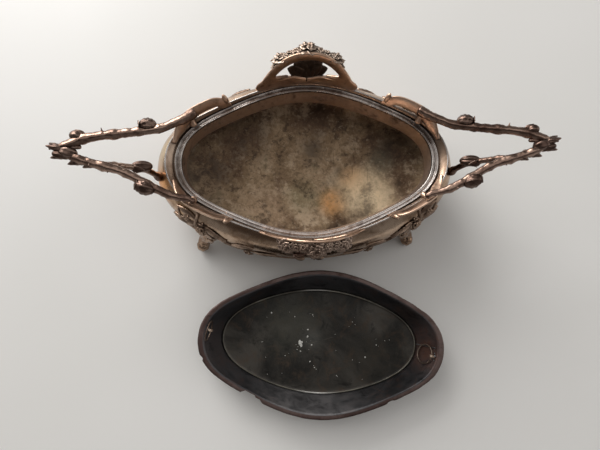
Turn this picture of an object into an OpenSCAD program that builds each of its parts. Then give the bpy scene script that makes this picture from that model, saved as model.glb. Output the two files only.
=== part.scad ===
// Oval footed centrepiece bowl with branch handles and a lift-out liner.
// X runs along the bowl's length, Y across it, Z up. All sizes in millimetres.

/* [Bowl] */
// Length of the body at its widest
belly_l = 279; // [270:1:290]
// Width of the body at its widest
belly_w = 170; // [164:1:176]
// Height of the widest line
belly_z = 43; // [40:1:46]
// Length of the flat underside
base_l = 132; // [120:1:150]
// Width of the flat underside
base_w = 72; // [64:1:80]
// Height of the flat underside above the table
base_z = 14; // [12:1:16]
// Height where the shoulder meets the collar
neck_z = 67; // [65:1:69]
// Wall thickness of the body
wall = 1.6; // [1.2:0.1:2.2]
// How far the rim's outline is drawn in between its ends and its sides
pinch = 0.12; // [0:0.01:0.15]
// The same at the belly, which is rounder
belly_pinch = 0.04; // [0:0.01:0.1]

/* [Rim] */
// Length of the opening that takes the liner
seat_l = 224; // [222:1:226]
// Width of the opening that takes the liner
seat_w = 130; // [128.5:0.5:132]
// Height of the ledge that carries the liner
seat_z = 73; // [72:0.5:74]
// Length over the outer rim
rim_l = 252; // [250:1:258]
// Width over the outer rim
rim_w = 144; // [143.5:0.5:148]
// Height of the outer rim
rim_z = 76; // [75.5:0.5:78]

/* [Gallery] */
// Half width of each arch
arch_half = 43; // [38:1:46]
// Height of each arch above the outer rim
arch_h = 39; // [34:1:42]
// Width of the arch's bands
arch_band = 6; // [5:0.5:7]
// Height of the scrolls above the outer rim
scroll_h = 11; // [9:0.5:12]
// Outward lean of the arches, as a slope
arch_lean = 0.15; // [0.1:0.01:0.2]

/* [Handles] */
// Distance from the middle to each handle's tip
tip_x = 210; // [205:1:215]
// Height of the handles' tips
tip_z = 113; // [108:1:116]
// Radius of the upper branches
branch_r = 3.6; // [3.2:0.1:4.2]
// Radius of the lower twigs
twig_r = 2.6; // [2.2:0.1:3]

/* [Feet] */
// Distance of the feet from the middle, along the bowl
foot_x = 103; // [98:1:106]
// Distance of the feet from the middle, across the bowl
foot_y = 66; // [62:1:68]
// Radius of the flat pad under each foot
pad_r = 4; // [3:0.5:5]

/* [Liner] */
// Length over the flange
liner_l = 235; // [232:1:236]
// Width over the flange
liner_w = 138.5; // [136:0.5:139]
// Height of the liner
liner_h = 26; // [24:1:30]
// Length of the liner's floor
floor_l = 196; // [190:1:200]
// Width of the liner's floor
floor_w = 104; // [100:1:108]
// Thickness of the liner's sheet
sheet = 1; // [0.8:0.1:1.2]
// Offset of the liner from the bowl's middle, along the bowl
liner_x = 10.5; // [0:0.5:20]
// Distance from the bowl's middle to the liner's middle
liner_gap = 165.4; // [163:0.2:175]
// Turn of the liner on the table
liner_turn = -5; // [-8:0.5:0]

/* [Ring pulls] */
// Outside diameter of a ring pull
ring_d = 19; // [17:0.5:20]
// Diameter of the ring pull's wire
wire_d = 1.2; // [1:0.1:1.4]
// Angle of the left ring, leaning out past upright
left_lean = 5; // [0:1:20]

/* [Hidden] */
$fn = 48;
steps = 60;           // points round each oval outline
bands = 6;            // bands in each quarter of the body's profile
half = 0.5;
silver = [0.62, 0.56, 0.48];
dark_tin = [0.17, 0.18, 0.18];
rust = [0.33, 0.26, 0.22];

// The set's middle is the origin: the rose stem stands furthest back, the liner's flange furthest forward.
knot = 1.05;          // a knot's radius against the branch's
stem_rise = 27;       // the rose stem's height above the rim
stem_out = 3;         // how far it starts outside the arch
stem_reach = 8;       // how far it runs out from there
stem_r = 2.2;         // radius of its cut end
stem_back = rim_w * half + arch_lean * stem_rise + stem_out + stem_reach + stem_r * knot;
flange_front = max([
  for (j = [0:steps - 1])
    let (q = oval(liner_l * half, liner_w * half, 360 * j / steps))
      -q[0] * sin(liner_turn) - q[1] * cos(liner_turn)
]);
origin_y = (liner_gap + flange_front - stem_back) * half;

// ---- Outlines ----

// A point of an oval of half axes a and b, drawn in by k between its ends and its sides
function oval(a, b, t, k = pinch) = [a * cos(t), b * sin(t) * (1 - k * pow(sin(2 * t), 2))];

// Half axes, height and pinch of the body's outside, from the underside (u = 0) to the belly (u = 90)
function lower_profile(u, inset) = [
  base_l * half + (belly_l - base_l) * half * sin(u) - inset,
  base_w * half + (belly_w - base_w) * half * sin(u) - inset,
  belly_z - (belly_z - base_z - inset) * cos(u),
  belly_pinch * sin(u)
];

// The same from the belly (v = 0) to the neck (v = 90)
neck_a = seat_l * half + 5;
neck_b = seat_w * half + 4.5;
function upper_profile(v, inset) = [
  neck_a + (belly_l * half - neck_a) * cos(v) - inset,
  neck_b + (belly_w * half - neck_b) * cos(v) - inset,
  belly_z + (neck_z - belly_z) * sin(v),
  pinch + (belly_pinch - pinch) * cos(v)
];

// A point at plan angle t over the body's outside at height z, standing off it by out
function skin_profile(z) = z < belly_z
  ? lower_profile(acos((belly_z - z) / (belly_z - base_z)), 0)
  : upper_profile(asin(min(1, (z - belly_z) / (neck_z - belly_z))), 0);
function skin(t, z, out = 0) =
  let (
    step = 0.2,
    lower = skin_profile(z - step),
    upper = skin_profile(z + step),
    facing = [upper[2] - lower[2], lower[0] - upper[0]],
    away = out * facing / norm(facing),
    p = skin_profile(z),
    q = oval(p[0] + away[0], p[1] + away[0], t, p[3])
  ) [q[0], q[1], z + away[1]];

// A point above the outer rim at plan angle t and height z, leaning outwards by slope k
function above_rim(t, z, k = 0, out = 0) =
  let (d = k * (z - rim_z) + out, q = oval(rim_l * half + d, rim_w * half + d, t)) [q[0], q[1], z];

// ---- Shared shapes ----

// Oval solid through the profile points [half length, half width, height, own pinch if any].
// A closed profile makes a ring, an open one is capped at both ends.
module oval_solid(profile, closed = false) {
  n = len(profile);
  rows = closed ? n : n - 1;
  points = [
    for (p = profile, j = [0:steps - 1])
      let (k = len(p) > 3 ? p[3] : pinch, q = oval(p[0], p[1], 360 * j / steps, k)) [q[0], q[1], p[2]]
  ];
  sides = [
    for (i = [0:rows - 1], j = [0:steps - 1])
      let (m = (i + 1) % n, h = (j + 1) % steps)
        [i * steps + j, m * steps + j, m * steps + h, i * steps + h]
  ];
  caps = closed ? [] : [
    [for (j = [0:steps - 1]) j],
    [for (j = [steps - 1:-1:0]) (n - 1) * steps + j]
  ];
  polyhedron(points = points, faces = concat(sides, caps), convexity = 6);
}

// Upright strip that follows the rim between plan angles t0 and t1.
// low and high give its lower and upper edge for u from 0 to 1.
module rim_strip(t0, t1, low, high, thick, lean = 0, count = 22) {
  points = [
    for (i = [0:count])
      let (u = i / count, t = t0 + (t1 - t0) * u, a = low(u), b = high(u), h = thick * half)
        each [above_rim(t, a, lean, -h), above_rim(t, a, lean, h), above_rim(t, b, lean, h), above_rim(t, b, lean, -h)]
  ];
  sides = [
    for (i = [0:count - 1], s = [0:3])
      let (m = (s + 1) % 4) [i * 4 + s, i * 4 + m, (i + 1) * 4 + m, (i + 1) * 4 + s]
  ];
  polyhedron(points = points, faces = concat(sides, [[3, 2, 1, 0], [for (s = [0:3]) count * 4 + s]]), convexity = 6);
}

// Round tube through a list of points, with a radius at each. The path never runs along ref.
tube_sides = 12;
function unit(v) = v / norm(v);
module tube(path, radii, ref = [0, 0, 1]) {
  last = len(path) - 1;
  points = [
    for (i = [0:last])
      let (
        along = unit(path[min(i + 1, last)] - path[max(i - 1, 0)]),
        across = unit(cross(along, ref)),
        over = cross(across, along)
      )
        for (j = [0:tube_sides - 1])
          let (t = 360 * j / tube_sides) path[i] + radii[i] * (cos(t) * across + sin(t) * over)
  ];
  sides = [
    for (i = [0:last - 1], j = [0:tube_sides - 1])
      let (k = (j + 1) % tube_sides)
        [i * tube_sides + j, i * tube_sides + k, (i + 1) * tube_sides + k, (i + 1) * tube_sides + j]
  ];
  start = [for (j = [tube_sides - 1:-1:0]) j];
  end = [for (j = [0:tube_sides - 1]) last * tube_sides + j];
  polyhedron(points = points, faces = concat(sides, [start, end]), convexity = 6);
}

// Branch through a list of points, thinning from r1 to r2, with a knot at every other bend
module branch(path, r1, r2, ref = [0, 0, 1]) {
  last = len(path) - 1;
  tube(path, [for (i = [0:last]) (r1 + (r2 - r1) * i / last) * (i % 2 == 0 ? knot : 1)], ref);
}

// Egg-shaped bud from p to q with the greatest radius r
module bud(p, q, r, ref = [0, 0, 1]) {
  rings = 6;
  tube(
    [for (i = [0:rings]) p + (q - p) * (1 - cos(180 * i / rings)) * half],
    [for (i = [0:rings]) r * max(0.3, sin(180 * i / rings))],
    ref
  );
}

// Open rose of a heart and a ring of petals, facing along the direction d
module rose(p, d, r) {
  petals = 6;
  translate(p)
    rotate([0, acos(d[2] / norm(d)), atan2(d[1], d[0])]) {
      sphere(r = r * 0.62);
      for (i = [0:petals - 1])
        rotate(360 * i / petals) translate([r * 0.6, 0, -r * 0.15]) sphere(r = r * 0.4);
    }
}

// Puts the bowl's own middle in its place in the set
module place_bowl() { translate([0, origin_y, 0]) children(); }

// The back right quarter's shapes, copied to the side sx (-1 left) and sy (-1 front)
module quarter(sx, sy) { place_bowl() mirror([sx < 0 ? 1 : 0, 0, 0]) mirror([0, sy < 0 ? 1 : 0, 0]) children(); }

// Puts the liner's own middle in its place on the table
module place_liner() { place_bowl() translate([liner_x, -liner_gap, 0]) rotate(liner_turn) children(); }

// ---- Body and rim ----

module bowl_body() {
  outside = concat(
    [for (i = [0:bands]) lower_profile(90 * i / bands, 0)],
    [for (i = [1:bands]) upper_profile(90 * i / bands, 0)]
  );
  inside = concat(
    [for (i = [bands:-1:1]) upper_profile(90 * i / bands, wall)],
    [for (i = [bands:-1:0]) lower_profile(90 * i / bands, wall)]
  );
  color(silver) place_bowl() oval_solid(concat(outside, inside));
}

// Stepped ring on the neck: its top is the ledge for the liner's flange, and a skirt hangs down inside
ledge_out = 6.4;      // from the opening's edge to the collar's outside
module seat_collar() {
  a = seat_l * half;
  b = seat_w * half;
  lip = 3.5;
  skirt = 1;          // thickness of the skirt
  drop = 18;          // its depth below the ledge
  draw_in = [1.5, 3.5];
  color(silver) place_bowl()
    oval_solid([
      [a + lip, b + lip - 0.5, neck_z],
      [a + ledge_out, b + ledge_out - 0.5, neck_z],
      [a + ledge_out, b + ledge_out - 0.5, seat_z - 0.6],
      [a + ledge_out - 0.6, b + ledge_out - 1.1, seat_z],
      [a + 0.6, b + 0.6, seat_z],
      [a, b, seat_z - 0.6],
      [a - draw_in[0], b - draw_in[1], seat_z - drop],
      [a - draw_in[0] + skirt, b - draw_in[1] + skirt, seat_z - drop],
      [a + skirt, b + skirt, neck_z + 2]
    ], closed = true);
}

// Flared band round the collar, with a rounded upper edge
module gallery_rim() {
  a = rim_l * half;
  b = rim_w * half;
  foot_a = seat_l * half + ledge_out;
  foot_b = seat_w * half + ledge_out - 0.5;
  t = 1.5;
  color(silver) place_bowl()
    oval_solid([
      [foot_a, foot_b, neck_z + 0.5],
      [foot_a + t, foot_b + t * 0.6, neck_z + 0.5],
      [a, b, rim_z - 1.6],
      [a + 0.4, b + 0.4, rim_z - 0.8],
      [a, b, rim_z],
      [a - 1.6, b - 1.4, rim_z],
      [a - 2, b - 1.8, rim_z - 0.8],
      [foot_a, foot_b, seat_z - 1]
    ], closed = true);
}

// ---- Gallery ----

arch_angle = acos(arch_half / (rim_l * half));
arch_foot = rim_z - 3;
arch_hole = 0.74;     // the opening's width against the arch's
arch_count = 22;      // stations along each of its edges

// Heights of the arch's edges at s, from -1 at its left end to 1 at its right
function arch_top(s) = arch_foot + 4 + (arch_h - 1) * (1 - pow(abs(s), 2.1));
function arch_under(s) = arch_top(s) - arch_band * sqrt(1 + pow(abs(s) * 2 * arch_h / arch_half, 2));
function arch_sill(s) = arch_foot + 7 + 2.2 * cos(360 * s);

// Plate that follows the rim: a loop of stations round the opening, out along the foot and back over the top
module arch() {
  thick = 2.4;
  s_values = [for (i = [0:arch_count]) 2 * i / arch_count - 1];
  edges = concat(
    [for (s = s_values) [s, arch_foot, arch_sill(s * arch_hole)]],
    [for (i = [arch_count:-1:0]) let (s = s_values[i]) [s, arch_top(s), arch_under(s * arch_hole)]]
  );
  points = [
    for (e = edges)
      let (t = 90 - e[0] * (90 - arch_angle), t_hole = 90 - e[0] * arch_hole * (90 - arch_angle), h = thick * half)
        each [
          above_rim(t, e[1], arch_lean, -h), above_rim(t, e[1], arch_lean, h),
          above_rim(t_hole, e[2], arch_lean, h), above_rim(t_hole, e[2], arch_lean, -h)
        ]
  ];
  faces = [
    for (i = [0:len(edges) - 1], v = [0:3])
      let (j = (i + 1) % len(edges), w = (v + 1) % 4) [i * 4 + v, j * 4 + v, j * 4 + w, i * 4 + w]
  ];
  polyhedron(points = points, faces = faces, convexity = 6);
}
module arch_back() { color(silver) quarter(1, 1) arch(); }
module arch_front() { color(silver) quarter(1, -1) arch(); }

// Fan of ribs that fills the middle of the arch
module fan() {
  foot = above_rim(90, rim_z + 3, arch_lean);
  length = arch_h - arch_band - 1;
  for (tilt = [-33, -12, 12, 33])
    tube([foot, foot + length * [sin(tilt), arch_lean, cos(tilt) * (1 - 0.14 * abs(sin(tilt)))]], [1.7, 2.6], [1, 0, 0]);
  bud(foot - [0, 0, 5], foot + [0, 0, 6], 4, [1, 0, 0]);
}
module fan_back() { color(silver) quarter(1, 1) fan(); }
module fan_front() { color(silver) quarter(1, -1) fan(); }

// Raised strip on the shoulder, open beneath, with a post between its two openings
scroll_start = 14;
scroll_end = 56;
function scroll_top(u) = rim_z + 1 + scroll_h * pow(sin(90 * min(u / 0.62, 1)), 1.3) * (1 - pow(u, 14));
function scroll_under(u) = u < 0.14 || u > 0.9 ? rim_z - 2 : max(rim_z - 2, scroll_top(u) - 5.5);
module scroll() {
  post_t = scroll_start + (scroll_end - scroll_start) * 0.52;
  rim_strip(scroll_start, scroll_end, function (u) scroll_under(u), function (u) scroll_top(u), 2.6);
  tube([above_rim(post_t, rim_z - 1.5), above_rim(post_t, rim_z + scroll_h - 1)], [2, 2], [1, 0, 0]);
}
module scroll_back_left() { color(silver) quarter(-1, 1) scroll(); }
module scroll_back_right() { color(silver) quarter(1, 1) scroll(); }
module scroll_front_left() { color(silver) quarter(-1, -1) scroll(); }
module scroll_front_right() { color(silver) quarter(1, -1) scroll(); }

// Roses on the outside of each arch
module side_rose() { rose(above_rim(90 - 10.5, rim_z + 28.5, arch_lean, 4.6), [0.25, 1, 0.75], 7.5); }
module centre_rose() { rose(above_rim(90, rim_z + 36, arch_lean, 5), [0, 1, 0.8], 10); }
module rose_back_left() { color(silver) quarter(-1, 1) side_rose(); }
module rose_back_centre() { color(silver) quarter(1, 1) centre_rose(); }
module rose_back_right() { color(silver) quarter(1, 1) side_rose(); }
module rose_front_left() { color(silver) quarter(-1, -1) side_rose(); }
module rose_front_centre() { color(silver) quarter(1, -1) centre_rose(); }
module rose_front_right() { color(silver) quarter(1, -1) side_rose(); }

// Cut stem and leaf below the middle rose
module rose_stem() {
  top = above_rim(90, rim_z + stem_rise, arch_lean, stem_out);
  branch([top, top + [-8, 5, -5], top + [-17, stem_reach, -5]], 2.4, stem_r);
  tube([top, top + [13, 5, -8]], [2.6, 1]);
}
module rose_stem_back() { color(silver) quarter(1, 1) rose_stem(); }
module rose_stem_front() { color(silver) quarter(1, -1) rose_stem(); }

// ---- Handles, drawn for the right side ----

function handle_z(x) = 89 + (tip_z - 89) * (x - 100) / (tip_x - 100);
function at_branch(x, y) = [x, y, handle_z(x)];
back_path = [for (p = [[100, 38], [112, 30], [126, 23], [148, 18], [178, 12], [196, 4], [tip_x - 4, 1]]) at_branch(p[0], p[1])];
front_path = [for (p = [[100, -37.5], [116, -34], [133, -26], [154, -15], [176, -9], [196, -3]]) at_branch(p[0], p[1])];
twig_path = [at_branch(169, -10), [155, -7, 87], [143, -7, 75], [137, -8, 65], skin(-7, 57, 1.4)];

module branch_back() { color(silver) branch(back_path, branch_r, branch_r * 0.95); }
module branch_front() { color(silver) branch(front_path, branch_r * 0.95, branch_r * 0.85); }
module twig() { color(silver) branch(twig_path, twig_r, twig_r, [0, 1, 0]); }
module crotch_leaf() {
  color(silver) hull() {
    translate(at_branch(181, 9)) sphere(r = 1.6, $fn = 20);
    translate(at_branch(182, -5)) sphere(r = 1.6, $fn = 20);
    translate(at_branch(198, 0)) sphere(r = 2.4, $fn = 20);
  }
}
module tip_leaves() {
  color(silver) {
    bud([tip_x - 13, 0, tip_z - 2], [tip_x, 4, tip_z + 1], 4.5);
    bud([tip_x - 20, -6, tip_z - 3], [tip_x - 4, -3, tip_z + 1], 5);
    bud([tip_x - 26, -9, tip_z - 4], [tip_x - 12, -3, tip_z], 4.2);
    bud([tip_x - 22, 5, tip_z - 3], [tip_x - 9, 3, tip_z + 1], 4.5);
  }
}
module round_bud() { color(silver) bud(at_branch(128, 26), at_branch(142, 24) + [0, 1, 1], 5.6); }
module oval_bud() { color(silver) bud(at_branch(145, -25), at_branch(129, -31) + [0, 0, 1], 5.6); }
module tulip_bud() { color(silver) bud([153, -6, 82], [136, -4, 76], 5); }
module small_bud() { color(silver) bud(at_branch(183, 12), at_branch(192, 13) + [0, 0, 1], 4.4); }

module branch_back_left() { quarter(-1, 1) branch_back(); }
module branch_front_left() { quarter(-1, 1) branch_front(); }
module twig_left() { quarter(-1, 1) twig(); }
module crotch_leaf_left() { quarter(-1, 1) crotch_leaf(); }
module tip_leaves_left() { quarter(-1, 1) tip_leaves(); }
module round_bud_left() { quarter(-1, 1) round_bud(); }
module oval_bud_left() { quarter(-1, 1) oval_bud(); }
module tulip_bud_left() { quarter(-1, 1) tulip_bud(); }
module small_bud_left() { quarter(-1, 1) small_bud(); }
module branch_back_right() { quarter(1, 1) branch_back(); }
module branch_front_right() { quarter(1, 1) branch_front(); }
module twig_right() { quarter(1, 1) twig(); }
module crotch_leaf_right() { quarter(1, 1) crotch_leaf(); }
module tip_leaves_right() { quarter(1, 1) tip_leaves(); }
module round_bud_right() { quarter(1, 1) round_bud(); }
module oval_bud_right() { quarter(1, 1) oval_bud(); }
module tulip_bud_right() { quarter(1, 1) tulip_bud(); }
module small_bud_right() { quarter(1, 1) small_bud(); }

// ---- Feet and applied leaves ----

foot_t = 48;          // plan angle of the feet
module foot() {
  heel = 5.2;
  toe = [foot_x, foot_y, heel];
  ankle = [foot_x - 3, foot_y - 6, 12];
  branch([skin(foot_t, 33, 5), ankle, toe], 6, 4.6, [0, 1, 0]);
  translate(toe) sphere(r = heel);
  translate([foot_x, foot_y, 0]) cylinder(h = heel, r = pad_r);
}
module foot_front_left() { color(silver) quarter(-1, -1) foot(); }
module foot_front_right() { color(silver) quarter(1, -1) foot(); }
module foot_back_left() { color(silver) quarter(-1, 1) foot(); }
module foot_back_right() { color(silver) quarter(1, 1) foot(); }

// Stem from the branch's end down over the shoulder to the foot, with a leaf and a flower
module leaf_mount() {
  rise = [84, 74];
  path = concat(
    [for (z = rise) above_rim(37.5, z, 0, 2)],
    [for (i = [0:4]) skin(39 + 2.2 * i, 64 - 8 * i, 1.6)]
  );
  branch(path, 2.4, 3.2, [1, 0, 0]);
  rose(skin(44, 54, 3), [0.6, 0.6, 0.7], 6.5);
}
module leaf_mount_front_left() { color(silver) quarter(-1, -1) leaf_mount(); }
module leaf_mount_front_right() { color(silver) quarter(1, -1) leaf_mount(); }
module leaf_mount_back_left() { color(silver) quarter(-1, 1) leaf_mount(); }
module leaf_mount_back_right() { color(silver) quarter(1, 1) leaf_mount(); }

// Bud on a stem, laid against the lower belly
module spray() {
  branch([for (i = [0:3]) skin(53 + 4.5 * i, 50 - 4.5 * i, 0.7)], 1.6, 1.8);
  rose(skin(66, 37, 3), [0.4, 1, 0.1], 5.5);
}
module spray_front_left() { color(silver) quarter(-1, -1) spray(); }
module spray_front_right() { color(silver) quarter(1, -1) spray(); }
module spray_back_left() { color(silver) quarter(-1, 1) spray(); }
module spray_back_right() { color(silver) quarter(1, 1) spray(); }

// ---- Liner ----

flange_w = 6;         // width of the flange all round
floor_pinch = 0.05;   // the floor's outline is rounder than the rim's
wall_a = liner_l * half - flange_w;
wall_b = liner_w * half - flange_w + 1;
floor_a = floor_l * half;
floor_b = floor_w * half;

module liner_wall() {
  color(dark_tin) place_liner()
    oval_solid([
      [floor_a, floor_b, 0, floor_pinch],
      [wall_a, wall_b, liner_h - sheet],
      [liner_l * half, liner_w * half, liner_h - sheet],
      [liner_l * half, liner_w * half, liner_h],
      [wall_a - sheet, wall_b - sheet, liner_h],
      [floor_a - sheet, floor_b - sheet, 0, floor_pinch]
    ], closed = true);
}

// Flat sheet with a raised solder bead round its edge
module liner_floor() {
  bead = 0.5;
  color(dark_tin) place_liner()
    oval_solid([
      for (p = [[1, 0], [1, sheet + bead], [2, sheet + bead], [3, sheet]])
        [floor_a - p[0] * sheet, floor_b - p[0] * sheet, p[1], floor_pinch]
    ]);
}

// ---- Ring pulls. Each is drawn lying on the wall, hinged at its top ----

pull_t = -6.5;        // plan angle of the pulls, measured from the liner's tip
wall_slope = atan((wall_a - floor_a) / (liner_h - sheet));
hinge_drop = 2.6;     // from the liner's rim down to the hinge
hinge_off = 2.4;      // from the wall to the middle of the wire
ring_r = (ring_d - wire_d) * half;
tip_turn = -11.6;     // way the wall faces there, seen from above

// Puts children at a pull's hinge: x outwards, y along the wall, z up. side is 1 right, -1 left
module at_hinge(side) {
  k = 1 - hinge_drop / (liner_h - sheet);
  a = floor_a + (wall_a - floor_a) * k - sheet - hinge_off / cos(wall_slope);
  b = floor_b + (wall_b - floor_b) * k - sheet;
  place_liner() rotate(side < 0 ? 180 : 0)
    translate(concat(oval(a, b, pull_t), [liner_h - hinge_drop]))
      rotate(tip_turn) children();
}

// Soldered eye, bored along the wall for the wire
module ring_lug(side) {
  lug_r = 1.9;
  hole_r = 1;
  lug_w = 2;
  color(rust) at_hinge(side) rotate([0, wall_slope, 0])
    difference() {
      union() {
        rotate([90, 0, 0]) cylinder(h = lug_w, r = lug_r, center = true);
        translate([0, -lug_w * half, -lug_r]) cube([hinge_off + 0.4, lug_w, 2 * lug_r]);
      }
      rotate([90, 0, 0]) cylinder(h = 2 * lug_w, r = hole_r, center = true);
    }
}

// Wire ring, swung inwards from the wall by turn
module ring_pull(side, turn) {
  color(rust) at_hinge(side) rotate([0, wall_slope + turn, 0])
    translate([0, 0, -ring_r]) rotate([0, 90, 0])
      rotate_extrude() translate([ring_r, 0]) circle(r = wire_d * half);
}
module ring_lug_left() { ring_lug(-1); }
module ring_lug_right() { ring_lug(1); }
module ring_pull_left() { ring_pull(-1, 180 - wall_slope + left_lean); }
module ring_pull_right() { ring_pull(1, 0); }

bowl_body();
seat_collar();
gallery_rim();
arch_back();
arch_front();
fan_back();
fan_front();
scroll_back_left();
scroll_back_right();
scroll_front_left();
scroll_front_right();
rose_back_left();
rose_back_centre();
rose_back_right();
rose_front_left();
rose_front_centre();
rose_front_right();
rose_stem_back();
rose_stem_front();
branch_back_left();
branch_front_left();
twig_left();
crotch_leaf_left();
tip_leaves_left();
round_bud_left();
oval_bud_left();
tulip_bud_left();
small_bud_left();
branch_back_right();
branch_front_right();
twig_right();
crotch_leaf_right();
tip_leaves_right();
round_bud_right();
oval_bud_right();
tulip_bud_right();
small_bud_right();
foot_front_left();
foot_front_right();
foot_back_left();
foot_back_right();
leaf_mount_front_left();
leaf_mount_front_right();
leaf_mount_back_left();
leaf_mount_back_right();
spray_front_left();
spray_front_right();
spray_back_left();
spray_back_right();
liner_wall();
liner_floor();
ring_lug_left();
ring_lug_right();
ring_pull_left();
ring_pull_right();
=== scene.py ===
"""Oval silver-plated bowl on four feet with branch handles, and its lift-out metal liner beside it."""
import math
import random

import bpy
import numpy as np
from mathutils import Matrix, Vector, noise


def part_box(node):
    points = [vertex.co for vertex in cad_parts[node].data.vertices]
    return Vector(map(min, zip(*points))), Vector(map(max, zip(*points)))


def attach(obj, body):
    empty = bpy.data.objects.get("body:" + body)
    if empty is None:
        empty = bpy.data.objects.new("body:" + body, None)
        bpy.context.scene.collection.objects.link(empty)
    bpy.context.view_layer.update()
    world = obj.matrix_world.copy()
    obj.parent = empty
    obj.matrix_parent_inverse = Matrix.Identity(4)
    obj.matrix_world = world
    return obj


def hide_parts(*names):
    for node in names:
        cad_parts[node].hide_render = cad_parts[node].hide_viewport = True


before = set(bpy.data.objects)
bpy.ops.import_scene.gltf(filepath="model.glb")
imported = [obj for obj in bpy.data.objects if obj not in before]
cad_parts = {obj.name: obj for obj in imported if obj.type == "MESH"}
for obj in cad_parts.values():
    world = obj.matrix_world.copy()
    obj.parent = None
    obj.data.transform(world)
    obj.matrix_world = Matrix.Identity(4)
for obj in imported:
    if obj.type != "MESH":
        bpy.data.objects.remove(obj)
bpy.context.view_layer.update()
rng = random.Random(7)

MM = 0.001
RAD = math.pi / 180
TURN = 2 * math.pi
ENDS = (("left", -1), ("right", 1))
FACES = (("back", 1), ("front", -1))
MIDDLE = (("", 1),)


def corners(node):
    """A CAD node's lowest and highest corner in millimetres."""
    low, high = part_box(node)
    return np.array(low) / MM, np.array(high) / MM


# ---- Main sizes, in millimetres, from the CAD ----
body_low, body_high = corners("bowl_body")
rim_low, rim_high = corners("gallery_rim")
mid_y = (body_low[1] + body_high[1]) / 2
belly_a = (body_high[0] - body_low[0]) / 2
belly_b = (body_high[1] - body_low[1]) / 2
base_z, neck_z = body_low[2], body_high[2]
ledge_z = corners("seat_collar")[1][2]
rim_z = rim_high[2]
rim_a = (rim_high[0] - rim_low[0]) / 2 - 0.4
rim_b = (rim_high[1] - rim_low[1]) / 2 - 0.4
seat_a, seat_b = rim_a - 14, rim_b - 7
belly_z, base_a, base_b = 43, 66, 36
neck_a, neck_b = seat_a + 5, seat_b + 4.5
PINCH, BELLY_PINCH = 0.12, 0.04
WALL = 1.6
LEAN = 0.15
COLUMNS = 256


def oval(a, b, t, pinch=PINCH):
    """Point of an oval at plan angle t (degrees), drawn in between its ends and its sides."""
    return np.array([a * math.cos(t * RAD), b * math.sin(t * RAD) * (1 - pinch * math.sin(2 * t * RAD) ** 2)])


def lower_profile(u, inset=0.0):
    """Half length, half width, height and pinch below the belly, u from 0 at the base to 90."""
    return (base_a + (belly_a - base_a) * math.sin(u * RAD) - inset,
            base_b + (belly_b - base_b) * math.sin(u * RAD) - inset,
            belly_z - (belly_z - base_z - inset) * math.cos(u * RAD),
            BELLY_PINCH * math.sin(u * RAD))


def upper_profile(v, inset=0.0):
    """The same above the belly, v from 0 at the belly to 90 at the neck."""
    return (neck_a + (belly_a - neck_a) * math.cos(v * RAD) - inset,
            neck_b + (belly_b - neck_b) * math.cos(v * RAD) - inset,
            belly_z + (neck_z - belly_z) * math.sin(v * RAD),
            PINCH + (BELLY_PINCH - PINCH) * math.cos(v * RAD))


def skin_profile(z):
    if z < belly_z:
        return lower_profile(math.acos(min(1, (belly_z - z) / (belly_z - base_z))) / RAD)
    return upper_profile(math.asin(min(1, (z - belly_z) / (neck_z - belly_z))) / RAD)


def skin(t, z, out=0.0):
    """Point on the body's outside at plan angle t and height z, standing off by out."""
    low, high = skin_profile(z - 0.2), skin_profile(z + 0.2)
    facing = np.array([high[2] - low[2], low[0] - high[0]])
    away = out * facing / np.linalg.norm(facing)
    a, b, _, pinch = skin_profile(z)
    return np.append(oval(a + away[0], b + away[0], t, pinch), z + away[1])


def above_rim(t, z, lean=0.0, out=0.0):
    """Point over the outer rim at plan angle t and height z."""
    d = lean * (z - rim_z) + out
    return np.append(oval(rim_a + d, rim_b + d, t), z)


def unit(v):
    return v / max(np.linalg.norm(v), 1e-9)


def smooth(points, count):
    """Catmull-Rom curve through the points, resampled to count steps of even length."""
    p = [np.array(q, float) for q in points]
    p = [2 * p[0] - p[1]] + p + [2 * p[-1] - p[-2]]
    fine = []
    for i in range(1, len(p) - 2):
        for k in range(12):
            s = k / 12
            fine.append(0.5 * ((2 * p[i]) + (p[i + 1] - p[i - 1]) * s
                               + (2 * p[i - 1] - 5 * p[i] + 4 * p[i + 1] - p[i + 2]) * s ** 2
                               + (3 * p[i] - p[i - 1] - 3 * p[i + 1] + p[i + 2]) * s ** 3))
    fine.append(p[-2])
    fine = np.array(fine)
    length = np.concatenate([[0], np.cumsum(np.linalg.norm(np.diff(fine, axis=0), axis=1))])
    at = np.linspace(0, length[-1], count)
    return np.stack([np.interp(at, length, fine[:, k]) for k in range(fine.shape[1])], axis=1)


def ripple(p, scale):
    """Smooth noise, about -1 to 1, at a point in millimetres."""
    return noise.noise(Vector((float(p[0]), float(p[1]), float(p[2]))) * scale)


def blend(x, low, high):
    """Smooth step from 0 at low to 1 at high."""
    x = max(0.0, min(1.0, (x - low) / (high - low)))
    return x * x * (3 - 2 * x)


def rounded(points, steps=2):
    """Closed outline with its corners cut off twice over."""
    p = np.array(points, float)
    for _ in range(steps):
        q = np.roll(p, -1, axis=0)
        p = np.stack([0.75 * p + 0.25 * q, 0.25 * p + 0.75 * q], axis=1).reshape(-1, p.shape[1])
    return p


# ---- Mesh builder ----

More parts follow.
